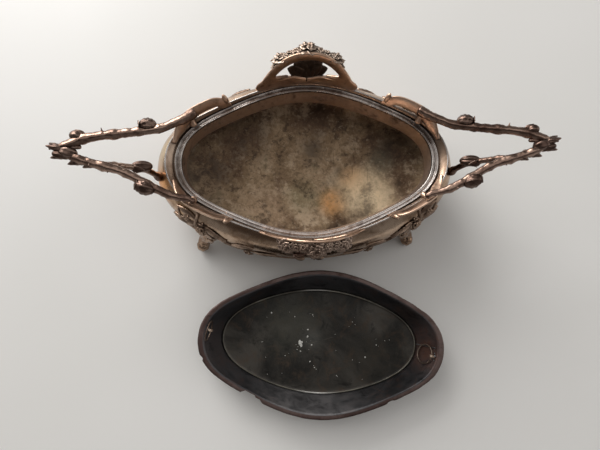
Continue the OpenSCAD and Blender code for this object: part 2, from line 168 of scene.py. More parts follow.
class Shape:
    """Collects closed skins in millimetres, in the bowl's own frame."""

    def __init__(self):
        self.points, self.faces, self.marks = [], [], []

    def grid(self, rows, wrap_rows=False, wrap_columns=False, mark=0):
        """Quads over an array of rows x columns x 3. mark may be a function of the row."""
        rows = np.asarray(rows, float)
        n, m = rows.shape[:2]
        start = len(self.points)
        self.points.extend(rows.reshape(-1, 3).tolist())
        for i in range(n if wrap_rows else n - 1):
            k = (i + 1) % n
            for j in range(m if wrap_columns else m - 1):
                h = (j + 1) % m
                self.faces.append([start + i * m + j, start + i * m + h, start + k * m + h, start + k * m + j])
                self.marks.append(mark(i) if callable(mark) else mark)

    def cap(self, start, count, mark=0, flip=False):
        """Closes a ring of points with one face."""
        face = list(range(start, start + count))
        self.faces.append(face[::-1] if flip else face)
        self.marks.append(mark)

    def column(self, rings):
        """Closed skin over a stack of rings."""
        start, count = len(self.points), len(rings[0])
        self.grid(rings, wrap_columns=True)
        self.cap(start, count, flip=True)
        self.cap(len(self.points) - count, count)

    def tube(self, path, radii, sides=14, ref=None, bark=0.0, ribs=0.0, rib_count=6):
        """Round rod along a path, closed by domes. bark roughens it, ribs flutes it along its length."""
        path = np.asarray(path, float)
        n = len(path)
        radii = np.interp(np.linspace(0, 1, n), np.linspace(0, 1, len(radii)), radii)
        along = np.gradient(path, axis=0)
        if ref is None:
            ref = [0, 0, 1] if abs(unit(along[0])[2]) < 0.9 else [1, 0, 0]
        side = unit(np.cross(unit(along[0]), np.array(ref)))
        frames = []
        for i in range(n):
            t = unit(along[i])
            side = unit(side - t * np.dot(side, t))
            frames.append((t, side, np.cross(side, t)))
        dome = ((0.05, 0.8), (0.62, 0.6), (0.9, 0.3))
        steps = [(0, grow, -shift) for grow, shift in dome] + [(i, 1.0, 0.0) for i in range(n)]
        steps += [(n - 1, grow, shift) for grow, shift in dome[::-1]]
        rings = []
        for i, grow, shift in steps:
            t, a, b = frames[i]
            ring = []
            for j in range(sides):
                w = TURN * j / sides
                d = a * math.cos(w) + b * math.sin(w)
                p = path[i] + d * radii[i] * grow * (1 + ribs * math.cos(rib_count * w)) + t * shift * radii[i] * 0.7
                if bark:
                    p = p + unit(d) * radii[i] * bark * (ripple(p, 0.22) + 0.7 * ripple(p + 31, 0.55))
                ring.append(p)
            rings.append(ring)
        self.column(rings)

    def ball(self, p, q, r, relief=None, rings=16, sides=24):
        """Egg from p to q. relief(u, w) gives the radius factor along and round it."""
        p, q = np.array(p, float), np.array(q, float)
        t = unit(q - p)
        a = unit(np.cross(t, [0.3, 0.2, 1] if abs(t[2]) < 0.9 else [1, 0, 0]))
        b = np.cross(t, a)
        rows = []
        for i in range(rings + 1):
            u = i / rings
            c = p + (q - p) * (1 - math.cos(math.pi * u)) / 2
            s = max(0.03, math.sin(math.pi * u))
            rows.append([c + (a * math.cos(w) + b * math.sin(w)) * r * s * (relief(u, w) if relief else 1)
                         for w in [TURN * j / sides for j in range(sides)]])
        self.column(rows)

    def sheet(self, rows, thick):
        """Closed thin shell on both sides of a surface given as rows x columns x 3. Its edges are rounded."""
        rows = np.asarray(rows, float)
        normal = np.cross(np.gradient(rows, axis=1), np.gradient(rows, axis=0))
        normal /= np.maximum(np.linalg.norm(normal, axis=2, keepdims=True), 1e-9)
        n, m = rows.shape[:2]
        edge = np.ones((n, m, 1))
        edge[0], edge[-1], edge[:, 0], edge[:, -1] = 0.45, 0.45, 0.45, 0.45
        start, size = len(self.points), n * m
        for way in (1, -1):
            self.points.extend((rows + way * normal * thick / 2 * edge).reshape(-1, 3).tolist())
        for i in range(n - 1):
            for j in range(m - 1):
                quad = (i * m + j, i * m + j + 1, (i + 1) * m + j + 1, (i + 1) * m + j)
                self.faces.append([start + k for k in quad])
                self.faces.append([start + size + k for k in quad[::-1]])
        border = [j for j in range(m)] + [i * m + m - 1 for i in range(1, n)]
        border += [(n - 1) * m + j for j in range(m - 2, -1, -1)] + [i * m for i in range(n - 2, 0, -1)]
        for a, b in zip(border, border[1:] + border[:1]):
            self.faces.append([start + b, start + a, start + size + a, start + size + b])
        self.marks.extend([0] * (len(self.faces) - len(self.marks)))

    def mirrored(self, sx, sy):
        """Copy on another side of the bowl."""
        other = Shape()
        other.points = [[p[0] * sx, p[1] * sy, p[2]] for p in self.points]
        other.faces = [f[::-1] if sx * sy < 0 else list(f) for f in self.faces]
        other.marks = list(self.marks)
        return other

    def make(self, name, materials, body, slot, nodes):
        """Blender object that rides a body and stands for the given CAD nodes."""
        mesh = bpy.data.meshes.new(name)
        points = (np.array(self.points) + [0, mid_y, 0]) * MM
        mesh.from_pydata(points.tolist(), [], self.faces)
        for m in materials:
            mesh.materials.append(m)
        mesh.polygons.foreach_set("material_index", self.marks)
        mesh.polygons.foreach_set("use_smooth", [True] * len(mesh.polygons))
        mesh.update()
        mesh.validate()
        obj = bpy.data.objects.new(name, mesh)
        bpy.context.collection.objects.link(obj)
        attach(obj, body)
        if nodes:
            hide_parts(*nodes)


def place(shape, piece, node, mat, slot, ends=MIDDLE, faces=FACES):
    """Makes a piece of the bowl at each end and face asked for. {} in the names is where it goes."""
    for end, sx in ends:
        for face, sy in faces:
            where = "_".join(w for w in (face, end) if w)
            shape.mirrored(sx, sy).make(piece.format(where), [mat], "bowl", slot, [node.format(where)])


# ---- Materials ----

class Nodes:
    """Small helper to write a node tree."""

    def __init__(self, tree):
        self.tree = tree
        tree.nodes.clear()

    def fill(self, socket, value):
        if isinstance(value, bpy.types.NodeSocket):
            self.tree.links.new(value, socket)
        else:
            socket.default_value = value

    def node(self, kind, inputs=None, **settings):
        n = self.tree.nodes.new(kind)
        for key, value in settings.items():
            setattr(n, key, value)
        for key, value in (inputs or {}).items():
            self.fill(n.inputs[key], value)
        return n

    def noise(self, scale, detail, rough, distort, vector):
        return self.node("ShaderNodeTexNoise", {"Scale": scale, "Detail": detail, "Roughness": rough,
                                                "Distortion": distort, "Vector": vector}).outputs["Fac"]

    def streaks(self, vector, scale, rotation, distort):
        """Noise drawn out along one way."""
        space = self.node("ShaderNodeMapping", {"Vector": vector, "Scale": scale, "Rotation": rotation}).outputs[0]
        return self.noise(1.0, 3.0, 0.6, distort, space)

    def ramp(self, value, stops):
        n = self.node("ShaderNodeValToRGB", {"Fac": value})
        points = n.color_ramp.elements
        while len(points) < len(stops):
            points.new(0.5)
        for point, (at, colour) in zip(points, stops):
            point.position = at
            point.color = (*colour, 1)
        return n.outputs["Color"]

    def grey(self, value, low, high, start=0.0, end=1.0):
        """Smooth step of a value from start at low to end at high."""
        n = self.node("ShaderNodeMapRange", {"Value": value, "From Min": low, "From Max": high,
                                             "To Min": start, "To Max": end})
        n.interpolation_type = "SMOOTHSTEP"
        return n.outputs["Result"]

    def mix(self, factor, a, b):
        n = self.node("ShaderNodeMix", data_type="RGBA")
        self.fill(n.inputs[0], factor)
        for key, value in ((6, a), (7, b)):
            self.fill(n.inputs[key], value if isinstance(value, bpy.types.NodeSocket) else (*value, 1))
        return n.outputs[2]

    def maths(self, operation, a, b):
        n = self.node("ShaderNodeMath", operation=operation)
        self.fill(n.inputs[0], a)
        self.fill(n.inputs[1], b)
        return n.outputs[0]

    def plus(self, a, b):
        return self.maths("ADD", a, b)

    def times(self, a, b):
        return self.maths("MULTIPLY", a, b)

    def spot(self, centre, radius, soft):
        """1 near a point of the bowl's frame (mm), 0 beyond the radius."""
        centre = (centre[0] * MM, (centre[1] + mid_y) * MM, centre[2] * MM)
        where = self.node("ShaderNodeTexCoord").outputs["Object"]
        d = self.node("ShaderNodeVectorMath", {0: where, 1: centre}, operation="DISTANCE").outputs["Value"]
        return self.grey(d, radius * MM * soft, radius * MM, 1.0, 0.0)

    def stains_and_painted_light(self, colour, cloud, stains_and_painted_light, low, share):
        """Stains, painted shade and painted reflections over a colour, each (place, radius, tint, strength), ragged
        where the cloud is thin.
        """
        for where, radius, tint, weight in stains_and_painted_light:
            ragged = self.grey(cloud, low, 0.6, share * weight, weight)
            colour = self.mix(self.times(self.spot(where, radius, 0.1), ragged), colour, tint)
        return colour

    def hollow(self, distance):
        return self.node("ShaderNodeAmbientOcclusion", {"Distance": distance}, samples=6).outputs["AO"]

    def pointed(self):
        return self.node("ShaderNodeNewGeometry").outputs["Pointiness"]

    def finish(self, colour, rough, height, strength, distance, metallic=1.0):
        bump = self.node("ShaderNodeBump", {"Height": height, "Strength": strength, "Distance": distance})
        shader = self.node("ShaderNodeBsdfPrincipled", {"Base Color": colour, "Roughness": rough,
                                                        "Metallic": metallic, "Normal": bump.outputs["Normal"]})
        self.node("ShaderNodeOutputMaterial", {"Surface": shader.outputs["BSDF"]})


def start_material(name, shift=None):
    """New material, its node helper and the place in the frame, moved by shift."""
    mat = bpy.data.materials.new(name)
    mat.use_nodes = True
    n = Nodes(mat.node_tree)
    coord = n.node("ShaderNodeTexCoord").outputs["Object"]
    if shift:
        coord = n.node("ShaderNodeVectorMath", {0: coord, 1: shift}, operation="ADD").outputs[0]
    return mat, n, coord


def silver(name, bright, brown, dark, tarnish, rough, cavity, edge, seed, patches=(), shade_and_tarnish=0.85):
    """Old silver plate: polished on its edges, brown where it is tarnished, and dark in its hollows from tarnish and
    painted shade.
    """
    mat, n, coord = start_material(name, (seed, seed * 0.7, seed * 1.3))
    broad = n.noise(18.0, 4.0, 0.6, 0.6, coord)
    cloud = n.noise(75.0, 6.0, 0.65, 0.4, coord)
    fine = n.noise(520.0, 4.0, 0.7, 0.0, coord)
    amount = n.grey(n.plus(n.times(broad, 0.6), n.times(cloud, 0.4)), 0.62 - tarnish * 0.4, 0.72 - tarnish * 0.2)
    colour = n.mix(amount, bright, brown)
    colour = n.mix(n.grey(cloud, 0.52, 0.74, 0.0, 0.75), colour, dark)
    colour = n.mix(n.grey(fine, 0.60, 0.78, 0.0, 0.22), colour, dark)
    # The listed patches carry tarnish tints, painted shade and painted reflections, as noted where each material is
    # made.
    colour = n.stains_and_painted_light(colour, cloud, patches, 0.3, 0.5)
    hollow = n.hollow(cavity)
    black = (dark[0] * 0.4, dark[1] * 0.34, dark[2] * 0.3)
    # Painted shade: ambient occlusion darkens the hollows nearly to black, together with their tarnish.
    colour = n.mix(n.grey(hollow, 0.25, 0.9, shade_and_tarnish, 0.0), colour, black)
    colour = n.mix(n.grey(n.pointed(), 0.52, 0.60, 0.0, edge), colour, [min(0.85, 1.35 * c) for c in bright])
    scratches = n.streaks(coord, (40.0, 900.0, 300.0), (0.2, 0.3, 0.5), 0.3)
    roughness = n.plus(n.grey(cloud, 0.35, 0.7, rough, rough + 0.2), n.grey(hollow, 0.3, 0.9, 0.2, 0.0))
    height = n.plus(n.times(cloud, 0.5), n.plus(n.times(fine, 0.12), n.times(scratches, 0.12)))
    n.finish(colour, roughness, height, 0.22, 0.0006)
    return mat


# Stains on the bowl's floor; the large dark patches at the left end (-100, 6), the right end (92, 28) and along the
# back (-62, 44) and (10, 52) are painted shade under the rim, and the pale ochre patch at the front right (62, -20) is
# a painted reflection
BOWL_STAINS_SHADE_AND_SHEEN = [
    ((-70, 18, 22), 9, (0.03, 0.025, 0.02), 0.95), ((10, 24, 22), 22, (0.05, 0.038, 0.03), 0.8),
    ((38, 4, 22), 13, (0.05, 0.03, 0.02), 0.85), ((50, -6, 22), 22, (0.62, 0.31, 0.11), 0.8),
    ((28, -28, 22), 22, (0.74, 0.36, 0.12), 0.85), ((-2, -20, 22), 26, (0.20, 0.21, 0.12), 0.45),
    ((62, -20, 22), 40, (0.92, 0.74, 0.50), 0.9), ((-40, -34, 22), 34, (0.46, 0.32, 0.22), 0.5),
    ((78, 14, 22), 22, (0.26, 0.27, 0.20), 0.5), ((-100, 6, 22), 46, (0.04, 0.026, 0.022), 0.9),
    ((-62, 44, 22), 38, (0.05, 0.032, 0.026), 0.8), ((92, 28, 22), 30, (0.04, 0.027, 0.022), 0.9),
    ((10, 52, 22), 30, (0.07, 0.045, 0.035), 0.5),
]


def inside_silver():
    """The bowl's floor: mottled brown, olive and ochre staining over dull silver, with a few dark spots, painted shade
    towards the walls and a painted reflection at the front right.
    """
    mat, n, coord = start_material("bowl_inside")
    broad = n.noise(15.0, 6.0, 0.62, 0.25, coord)
    cloud = n.noise(46.0, 9.0, 0.74, 0.12, coord)
    fine = n.noise(300.0, 6.0, 0.75, 0.2, coord)
    colour = n.ramp(broad, [(0.34, (0.065, 0.038, 0.024)), (0.43, (0.15, 0.095, 0.06)), (0.50, (0.24, 0.165, 0.10)),
                            (0.57, (0.33, 0.235, 0.15)), (0.66, (0.15, 0.125, 0.075))])
    colour = n.mix(n.grey(cloud, 0.50, 0.62, 0.0, 0.8), colour, (0.52, 0.40, 0.28))
    colour = n.mix(n.grey(cloud, 0.48, 0.38, 0.0, 0.85), colour, (0.05, 0.032, 0.022))
    colour = n.mix(n.grey(fine, 0.50, 0.66, 0.0, 0.6), colour, (0.06, 0.045, 0.034))
    colour = n.mix(n.grey(fine, 0.46, 0.34, 0.0, 0.35), colour, (0.50, 0.40, 0.29))
    colour = n.stains_and_painted_light(colour, cloud, BOWL_STAINS_SHADE_AND_SHEEN, 0.38, 0.25)
    # Painted shade: ambient occlusion darkens the floor near the walls and under the overhanging rim.
    colour = n.mix(n.grey(n.hollow(0.02), 0.1, 0.8, 0.9, 0.0), colour, (0.014, 0.010, 0.009))
    scratches = n.streaks(coord, (700.0, 30.0, 30.0), (0.0, 0.0, 0.12), 0.4)
    line = n.times(n.grey(scratches, 0.63, 0.68), n.spot((40, -6, 20), 60, 0.2))
    colour = n.mix(n.times(line, 0.7), colour, (0.09, 0.065, 0.04))
    height = n.plus(n.times(broad, 1.6), n.plus(n.times(cloud, 0.5), n.times(fine, 0.18)))
    n.finish(colour, n.grey(cloud, 0.3, 0.7, 0.36, 0.58), height, 0.5, 0.0012)
    return mat


def tin(name, base, light, rusty, rough, rust_amount, seed, stains_and_painted_light=()):
    """Dark corroded sheet metal with a dull sheen."""
    mat, n, coord = start_material(name, (seed, seed, seed))
    broad = n.noise(16.0, 5.0, 0.6, 0.8, coord)
    cloud = n.noise(70.0, 7.0, 0.7, 0.6, coord)
    fine = n.noise(430.0, 5.0, 0.7, 0.0, coord)
    colour = n.mix(n.grey(broad, 0.38, 0.66), base, light)
    colour = n.mix(n.grey(cloud, 0.48, 0.72, 0.0, rust_amount), colour, rusty)
    colour = n.mix(n.grey(cloud, 0.46, 0.3, 0.0, 0.7), colour, [c * 0.35 for c in base])
    colour = n.mix(n.grey(fine, 0.56, 0.76, 0.0, 0.45), colour, light)
    colour = n.stains_and_painted_light(colour, cloud, stains_and_painted_light, 0.32, 0.4)
    worn = (light[0] * 2.2, light[1] * 2.1, light[2] * 2.0)
    colour = n.mix(n.grey(n.pointed(), 0.52, 0.6, 0.0, 0.6), colour, worn)
    height = n.plus(n.times(cloud, 0.6), n.times(fine, 0.4))
    n.finish(colour, n.grey(cloud, 0.3, 0.7, rough, rough + 0.22), height, 0.45, 0.0006, metallic=0.75)
    return mat


# Body patches: at the left end, orange and pale tints are painted reflections; the right-end patch tints that end
# brown, and the broad front patch darkens and warms the front of the belly.
body_mat = silver("body_silver", (0.56, 0.42, 0.315), (0.31, 0.20, 0.13), (0.07, 0.045, 0.033),
                  0.6, 0.17, 0.003, 0.5, 0.0, (
                      ((-132, -16, 56), 22, (0.85, 0.42, 0.17), 0.85), ((-130, 16, 58), 18, (0.66, 0.55, 0.36), 0.7),
                      ((-112, -38, 58), 16, (0.62, 0.40, 0.22), 0.6), ((128, -22, 54), 20, (0.52, 0.34, 0.22), 0.5),
                      ((0, -80, 48), 60, (0.44, 0.29, 0.19), 0.45)), shade_and_tarnish=0.4)
# The rim's patches are painted shade, darkening its back and both ends.
rim_mat = silver("rim_silver", (0.74, 0.68, 0.645), (0.38, 0.29, 0.24), (0.08, 0.058, 0.05),
                 0.4, 0.18, 0.002, 0.4, 0.31, (
                     ((0, 100, 78), 175, (0.13, 0.095, 0.078), 0.95), ((-124, 8, 78), 84, (0.13, 0.105, 0.09), 0.9),
                     ((124, 16, 78), 96, (0.10, 0.078, 0.066), 0.95)))
# The band's patch is painted shade at its right end.
band_mat = silver("band_silver", (0.39, 0.295, 0.23), (0.25, 0.17, 0.12), (0.06, 0.042, 0.034),
                  0.6, 0.24, 0.003, 0.5, 0.17, (((118, 16, 76), 62, (0.19, 0.135, 0.10), 0.75),))
skirt_mat = silver("skirt_silver", (0.84, 0.68, 0.58), (0.60, 0.445, 0.36), (0.09, 0.062, 0.05),
                   0.6, 0.36, 0.004, 0.4, 0.42)
gallery_mat = silver("gallery_silver", (0.78, 0.57, 0.43), (0.58, 0.385, 0.275), (0.15, 0.095, 0.07),
                     0.7, 0.28, 0.002, 0.5, 0.93, shade_and_tarnish=0.6)
# The fan is coloured near-black: painted shade inside the arch's opening.
fan_shade_mat = silver("shaded_recess_silver", (0.11, 0.085, 0.07), (0.055, 0.038, 0.03), (0.02, 0.014, 0.012),
                 0.6, 0.4, 0.006, 0.05, 1.3)
back_rose_mat = silver("cast_silver", (0.46, 0.375, 0.31), (0.26, 0.18, 0.135), (0.06, 0.042, 0.034),
                       0.6, 0.27, 0.002, 0.45, 0.53)
# A darker copy of the cast silver for the roses on the front arch: painted shade on their side away from the window.
front_rose_shade_mat = silver("front_rose_silver", (0.38, 0.285, 0.23), (0.16, 0.105, 0.078), (0.03, 0.021, 0.018),
                        0.6, 0.25, 0.002, 0.5, 0.57)
relief_mat = silver("relief_silver", (0.42, 0.305, 0.23), (0.21, 0.14, 0.10), (0.05, 0.034, 0.026),
                    0.6, 0.24, 0.003, 0.5, 0.63, shade_and_tarnish=0.45)
branch_mat = silver("branch_silver", (0.34, 0.235, 0.185), (0.13, 0.077, 0.058), (0.03, 0.018, 0.015),
                    0.62, 0.18, 0.003, 0.6, 0.71)
bud_mat = silver("bud_silver", (0.22, 0.155, 0.125), (0.095, 0.058, 0.046), (0.022, 0.014, 0.012),
                 0.6, 0.22, 0.003, 0.65, 0.81)
foot_mat = silver("foot_silver", (0.46, 0.33, 0.24), (0.27, 0.165, 0.105), (0.05, 0.034, 0.026),
                  0.55, 0.17, 0.004, 0.6, 0.37)
inside_mat = inside_silver()


# ---- Body ----

LOW_STEPS, HIGH_STEPS = 22, 16
outside = [lower_profile(90 * i / LOW_STEPS) for i in range(LOW_STEPS + 1)]
outside += [upper_profile(90 * i / HIGH_STEPS) for i in range(1, HIGH_STEPS + 1)]
inside = [upper_profile(90 * i / HIGH_STEPS, WALL) for i in range(HIGH_STEPS, 0, -1)]
inside += [lower_profile(90 * i / LOW_STEPS, WALL) for i in range(LOW_STEPS, -1, -1)]
floor = inside[-1]
inside += [(floor[0] * s, floor[1] * s, floor[2], 0) for s in (0.85, 0.65, 0.45, 0.25, 0.05)]
under = [(base_a * s, base_b * s, base_z + 0.8 * (1 - s), 0) for s in (0.05, 0.3, 0.6, 0.85)]
profile = under + outside + inside
rows = []
for i, (a, b, z, pinch) in enumerate(profile):
    row = []
    for j in range(COLUMNS):
        x, y = oval(a, b, 360 * j / COLUMNS, pinch)
        bumpy = len(under) < i < len(profile) - 1 and z < neck_z - 3
        dent = 0.5 * ripple((x, y, z), 0.035) if bumpy else 0.0
        row.append([x * (1 + dent / max(a, 60)), y * (1 + dent / max(b, 40)), z])
    rows.append(row)
body = Shape()
body.grid(rows, wrap_columns=True, mark=lambda i: 1 if i >= len(under) + len(outside) else 0)
body.cap(len(body.points) - COLUMNS, COLUMNS, mark=1)
body.cap(0, COLUMNS, flip=True)
body.make("body_shell", [body_mat, inside_mat], "bowl", "body_silver", ["bowl_body"])


def turned(shape, profile, shift):
    """Ring round the bowl from a section of (half length, half width, height). shift places each point."""
    rows = []
    for j in range(COLUMNS):
        row = []
        for a, b, z in profile:
            x, y = oval(a, b, 360 * j / COLUMNS)
            row.append(shift(x, y, z, TURN * j / COLUMNS))
        rows.append(row)
    shape.grid(rows, wrap_rows=True, wrap_columns=True)


a, b = seat_a, seat_b
LEDGE = 6.4
collar = Shape()
turned(collar, rounded([
    (a + 3.5, b + 3.0, neck_z), (a + LEDGE, b + LEDGE - 0.5, neck_z), (a + LEDGE, b + LEDGE - 0.5, ledge_z - 0.9),
    (a + LEDGE - 0.9, b + LEDGE - 1.4, ledge_z), (a + 4.3, b + 4.0, ledge_z), (a + 3.9, b + 3.7, ledge_z - 0.7),
    (a + 3.3, b + 3.1, ledge_z - 0.7), (a + 2.8, b + 2.7, ledge_z), (a + 0.9, b + 0.8, ledge_z), (a, b, ledge_z - 0.7),
    (a - 0.1, b - 0.2, ledge_z - 3), (a - 0.8, b - 1.7, ledge_z - 10), (a - 1.5, b - 3.5, ledge_z - 18),
    (a - 0.5, b - 2.5, ledge_z - 18), (a + 0.2, b - 0.6, ledge_z - 10), (a + 1, b + 1, neck_z + 2)]),
    lambda x, y, z, w: [x, y, z - 0.4 * max(0.0, (ledge_z - 4 - z) / 14) * ripple((x, y, 0), 0.04)])


def on_skirt(face):
    """True for the faces of the collar's inner skirt."""
    p = np.array([collar.points[i] for i in face])
    x, y, z = p.mean(axis=0)
    return (z < ledge_z - 2.2 and np.abs(p[:, 0]).mean() < a + 1
            and (x / (a + 1.2)) ** 2 + (y / (b + 1.2)) ** 2 < 1)


collar.marks = [1 if on_skirt(f) else 0 for f in collar.faces]
collar.make("collar", [rim_mat, skirt_mat], "bowl", "rim_silver", ["seat_collar"])


def wavered(x, y, z, w):
    wobble = 0.12 * ripple((x, y, z), 0.05)
    return [x + wobble * math.cos(w), y + wobble, z + wobble * 0.6]


fa, fb = a + LEDGE, b + LEDGE - 0.5
band = Shape()
turned(band, rounded([
    (fa, fb, neck_z + 0.5), (fa + 1.5, fb + 0.9, neck_z + 0.5), (rim_a - 5, rim_b - 1.6, neck_z + 4.2),
    (rim_a - 1.5, rim_b - 0.9, rim_z - 3.2), (rim_a, rim_b, rim_z - 2.3), (rim_a + 0.45, rim_b + 0.45, rim_z - 1.5),
    (rim_a + 0.45, rim_b + 0.45, rim_z - 0.5), (rim_a - 0.2, rim_b - 0.2, rim_z), (rim_a - 1.3, rim_b - 1.1, rim_z),
    (rim_a - 1.9, rim_b - 1.6, rim_z - 0.7), (rim_a - 2.4, rim_b - 1.9, rim_z - 0.9),
    (rim_a - 4.5, rim_b - 2.2, rim_z - 2.4), (fa + 0.6, fb + 0.25, ledge_z - 1.9), (fa, fb, ledge_z - 1.4)]), wavered)
band.make("rim_band", [band_mat], "bowl", "rim_silver", ["gallery_rim"])

# Fine bright wires soldered along the outer rim, the ledge's edges and the neck: half sizes, height, radius
wires = Shape()
for a, b, z, r in ((rim_a - 0.35, rim_b - 0.35, rim_z - 0.55, 0.85), (seat_a + 0.7, seat_b + 0.6, ledge_z - 0.35, 0.65),
                   (seat_a + 5.6, seat_b + 4.9, ledge_z - 0.25, 0.6), (neck_a + 0.6, neck_b + 0.5, neck_z - 0.3, 0.9)):
    section = [(a + r * math.cos(w), b + r * math.cos(w), z + r * math.sin(w))
               for w in [-TURN * k / 8 for k in range(8)]]
    turned(wires, section, lambda x, y, z, w: [x, y, z])
wires.make("rim_wires", [rim_mat], "bowl", "rim_silver", [])


# ---- Gallery ----

def polar(points, centre, angles):
    """Radius of a star-shaped outline about centre at each angle."""
    d = np.array(points) - centre
    w = np.arctan2(d[:, 1], d[:, 0]) % TURN
    r = np.linalg.norm(d, axis=1)
    order = np.argsort(w)
    w, r = w[order], r[order]
    w = np.concatenate([w - TURN, w, w + TURN])
    return np.interp(angles, w, np.concatenate([r, r, r]))


def bar_section(sharp, depth):
    """Steps round a flat bar's section: the share of the way across it, and how far out to either face."""
    steps = []
    for k in range(12):
        c, s = math.cos(-TURN * k / 12), math.sin(-TURN * k / 12)
        steps.append((0.5 + 0.5 * math.copysign(abs(c) ** sharp, c), depth * math.copysign(abs(s) ** 0.75, s)))
    return steps


ARCH_HALF, ARCH_H, ARCH_BAND, ARCH_HOLE = 44.0, 39.0, 8.5, 0.63
arch_foot = rim_z - 3


def arch_top(s):
    """Height of the arch's top edge at a share s of its half length."""
    return arch_foot + 5.5 + (ARCH_H - 1) * (1 - abs(s) ** 2.4)


def arch_under(s):
    """Height of the opening's top edge, so that the band keeps its width on the slopes."""
    slope = 1 + (abs(s) * 2 * ARCH_H / ARCH_HALF) ** 2
    return max(arch_top(s) - ARCH_BAND * math.sqrt(slope), arch_foot + 16)


# Outlines are (distance from the middle, height)
lobe = [(ARCH_HALF - 2.5, arch_foot), (ARCH_HALF + 0.2, arch_foot + 3), (ARCH_HALF + 1.8, arch_foot + 6.5),
        (ARCH_HALF + 1.2, arch_foot + 10), (ARCH_HALF - 1.8, arch_foot + 13)]
outline = rounded(lobe + [(s * ARCH_HALF, arch_top(s)) for s in np.linspace(0.9, -0.9, 33)]
                  + [(-x, z) for x, z in lobe[::-1]] + [(x, arch_foot) for x in np.linspace(-36, 36, 15)])
hole_half = ARCH_HALF * ARCH_HOLE
opening = rounded([(x, arch_foot + 12.8 - 2.4 * math.cos(TURN * x / 33))
                   for x in np.linspace(-hole_half * 0.94, hole_half * 0.94, 25)]
                  + [(s * hole_half, arch_under(s * ARCH_HOLE)) for s in np.linspace(1, -1, 25)])
centre = np.array([0, arch_foot + 15.0])
angles = np.linspace(0, TURN, 180, endpoint=False)
rows = []
for w, outer, inner in zip(angles, polar(outline, centre, angles), polar(opening, centre, angles)):
    row = []
    for share, out in bar_section(0.3, 1.3):
        r = inner + (outer - inner) * share
        x, z = centre[0] + r * math.cos(w), centre[1] + r * math.sin(w)
        row.append(above_rim(math.acos(max(-1, min(1, x / rim_a))) / RAD, z, LEAN, out))
    rows.append(row)
arch_piece = Shape()
arch_piece.grid(rows, wrap_rows=True, wrap_columns=True)
place(arch_piece, "arch_{}_plate", "arch_{}", gallery_mat, "gallery_silver")

# Fan of pointed leaves in the arch: tilt, length, half width
fan_piece = Shape()
foot = above_rim(90, rim_z + 3, LEAN)
for tilt, length, wide in ((-36, 25, 6.6), (36, 25, 6.6), (-18, 28, 6.8), (18, 28, 6.8), (0, 29, 7.0)):
    c, s = math.cos(tilt * RAD), math.sin(tilt * RAD)
    rows = []
    for i in range(15):
        u = i / 14
        w = wide * math.sin(math.pi * min(1, 0.1 + 0.76 * u)) ** 0.8 + 0.25
        row = []
        for j in range(9):
            v = j / 4 - 1
            x = s * length * u + c * w * v
            z = c * length * u * (1 - 0.1 * abs(s)) - s * w * v
            row.append(foot + [x, LEAN * z + 0.7 * (1 - v * v) + 0.48 * math.sin(3 * u), z])
        rows.append(row)
    fan_piece.sheet(rows, 1.3)
fan_piece.ball(foot - [0, -1.2, 4.5], foot + [0, 1.8, 6], 2.6, lambda u, w: 1 + 0.08 * math.cos(6 * w))
place(fan_piece, "fan_{}_leaves", "fan_{}", fan_shade_mat, "cast_silver")

# Raised shoulder scrolls, drawn at the back right
SCROLL_T0, SCROLL_T1, SCROLL_H = 14.0, 56.0, 11.0


def scroll_top(u):
    return rim_z + 1 + SCROLL_H * math.sin(math.pi / 2 * min(u / 0.62, 1)) ** 1.3 * (1 - u ** 16)


def scroll_under(u):
    raised = blend(u, 0.13, 0.2) * (1 - blend(u, 0.84, 0.9))
    return rim_z - 2 + raised * max(0.0, scroll_top(u) - 9.0 - (rim_z - 2))


def ribbon(t, z, out):
    """Point of the shoulder ribbon, which leans out from the groove inside the rim to just beyond it."""
    k = (z - rim_z + 2) / 12
    q = oval(rim_a - 5.4 + 8.8 * k + 0.6 * out, rim_b - 2.4 + 7.6 * k + 0.6 * out, t)
    return np.append(q, z - 0.7 * out)


scroll_piece = Shape()
rows = []
for i in range(91):
    u = i / 90
    low, high = scroll_under(u), max(scroll_top(u), rim_z - 1)
    rows.append([ribbon(SCROLL_T0 + (SCROLL_T1 - SCROLL_T0) * u, low + (high - low) * share, out)
                 for share, out in bar_section(0.35, 1.5)])
scroll_piece.column(rows)
post = SCROLL_T0 + (SCROLL_T1 - SCROLL_T0) * 0.52
scroll_piece.tube(smooth([ribbon(post - 3, rim_z - 2, 0), ribbon(post - 1, rim_z + 3, 0.6),
                          ribbon(post + 1, rim_z + SCROLL_H - 3, 0)], 14), [3.4, 1.8, 2.6], ref=[1, 0, 0], bark=0.12)
scroll_piece.ball(ribbon(SCROLL_T1 - 1.2, rim_z + 0.5, -0.2), ribbon(SCROLL_T1 - 1.2, rim_z + 9.8, -0.2), 2.4)
place(scroll_piece, "scroll_ribbon_{}", "scroll_{}", gallery_mat, "gallery_silver", ENDS)


# ---- Leaves and flowers ----

def axes(d, up=(0, 0, 1)):
    """Two axes across a direction, and the direction."""
    d = unit(np.array(d, float))
    if abs(np.dot(d, up)) > 0.95:
        up = (0, 1, 0)
    a = unit(np.cross(np.array(up, float), d))
    return a, np.cross(d, a), d


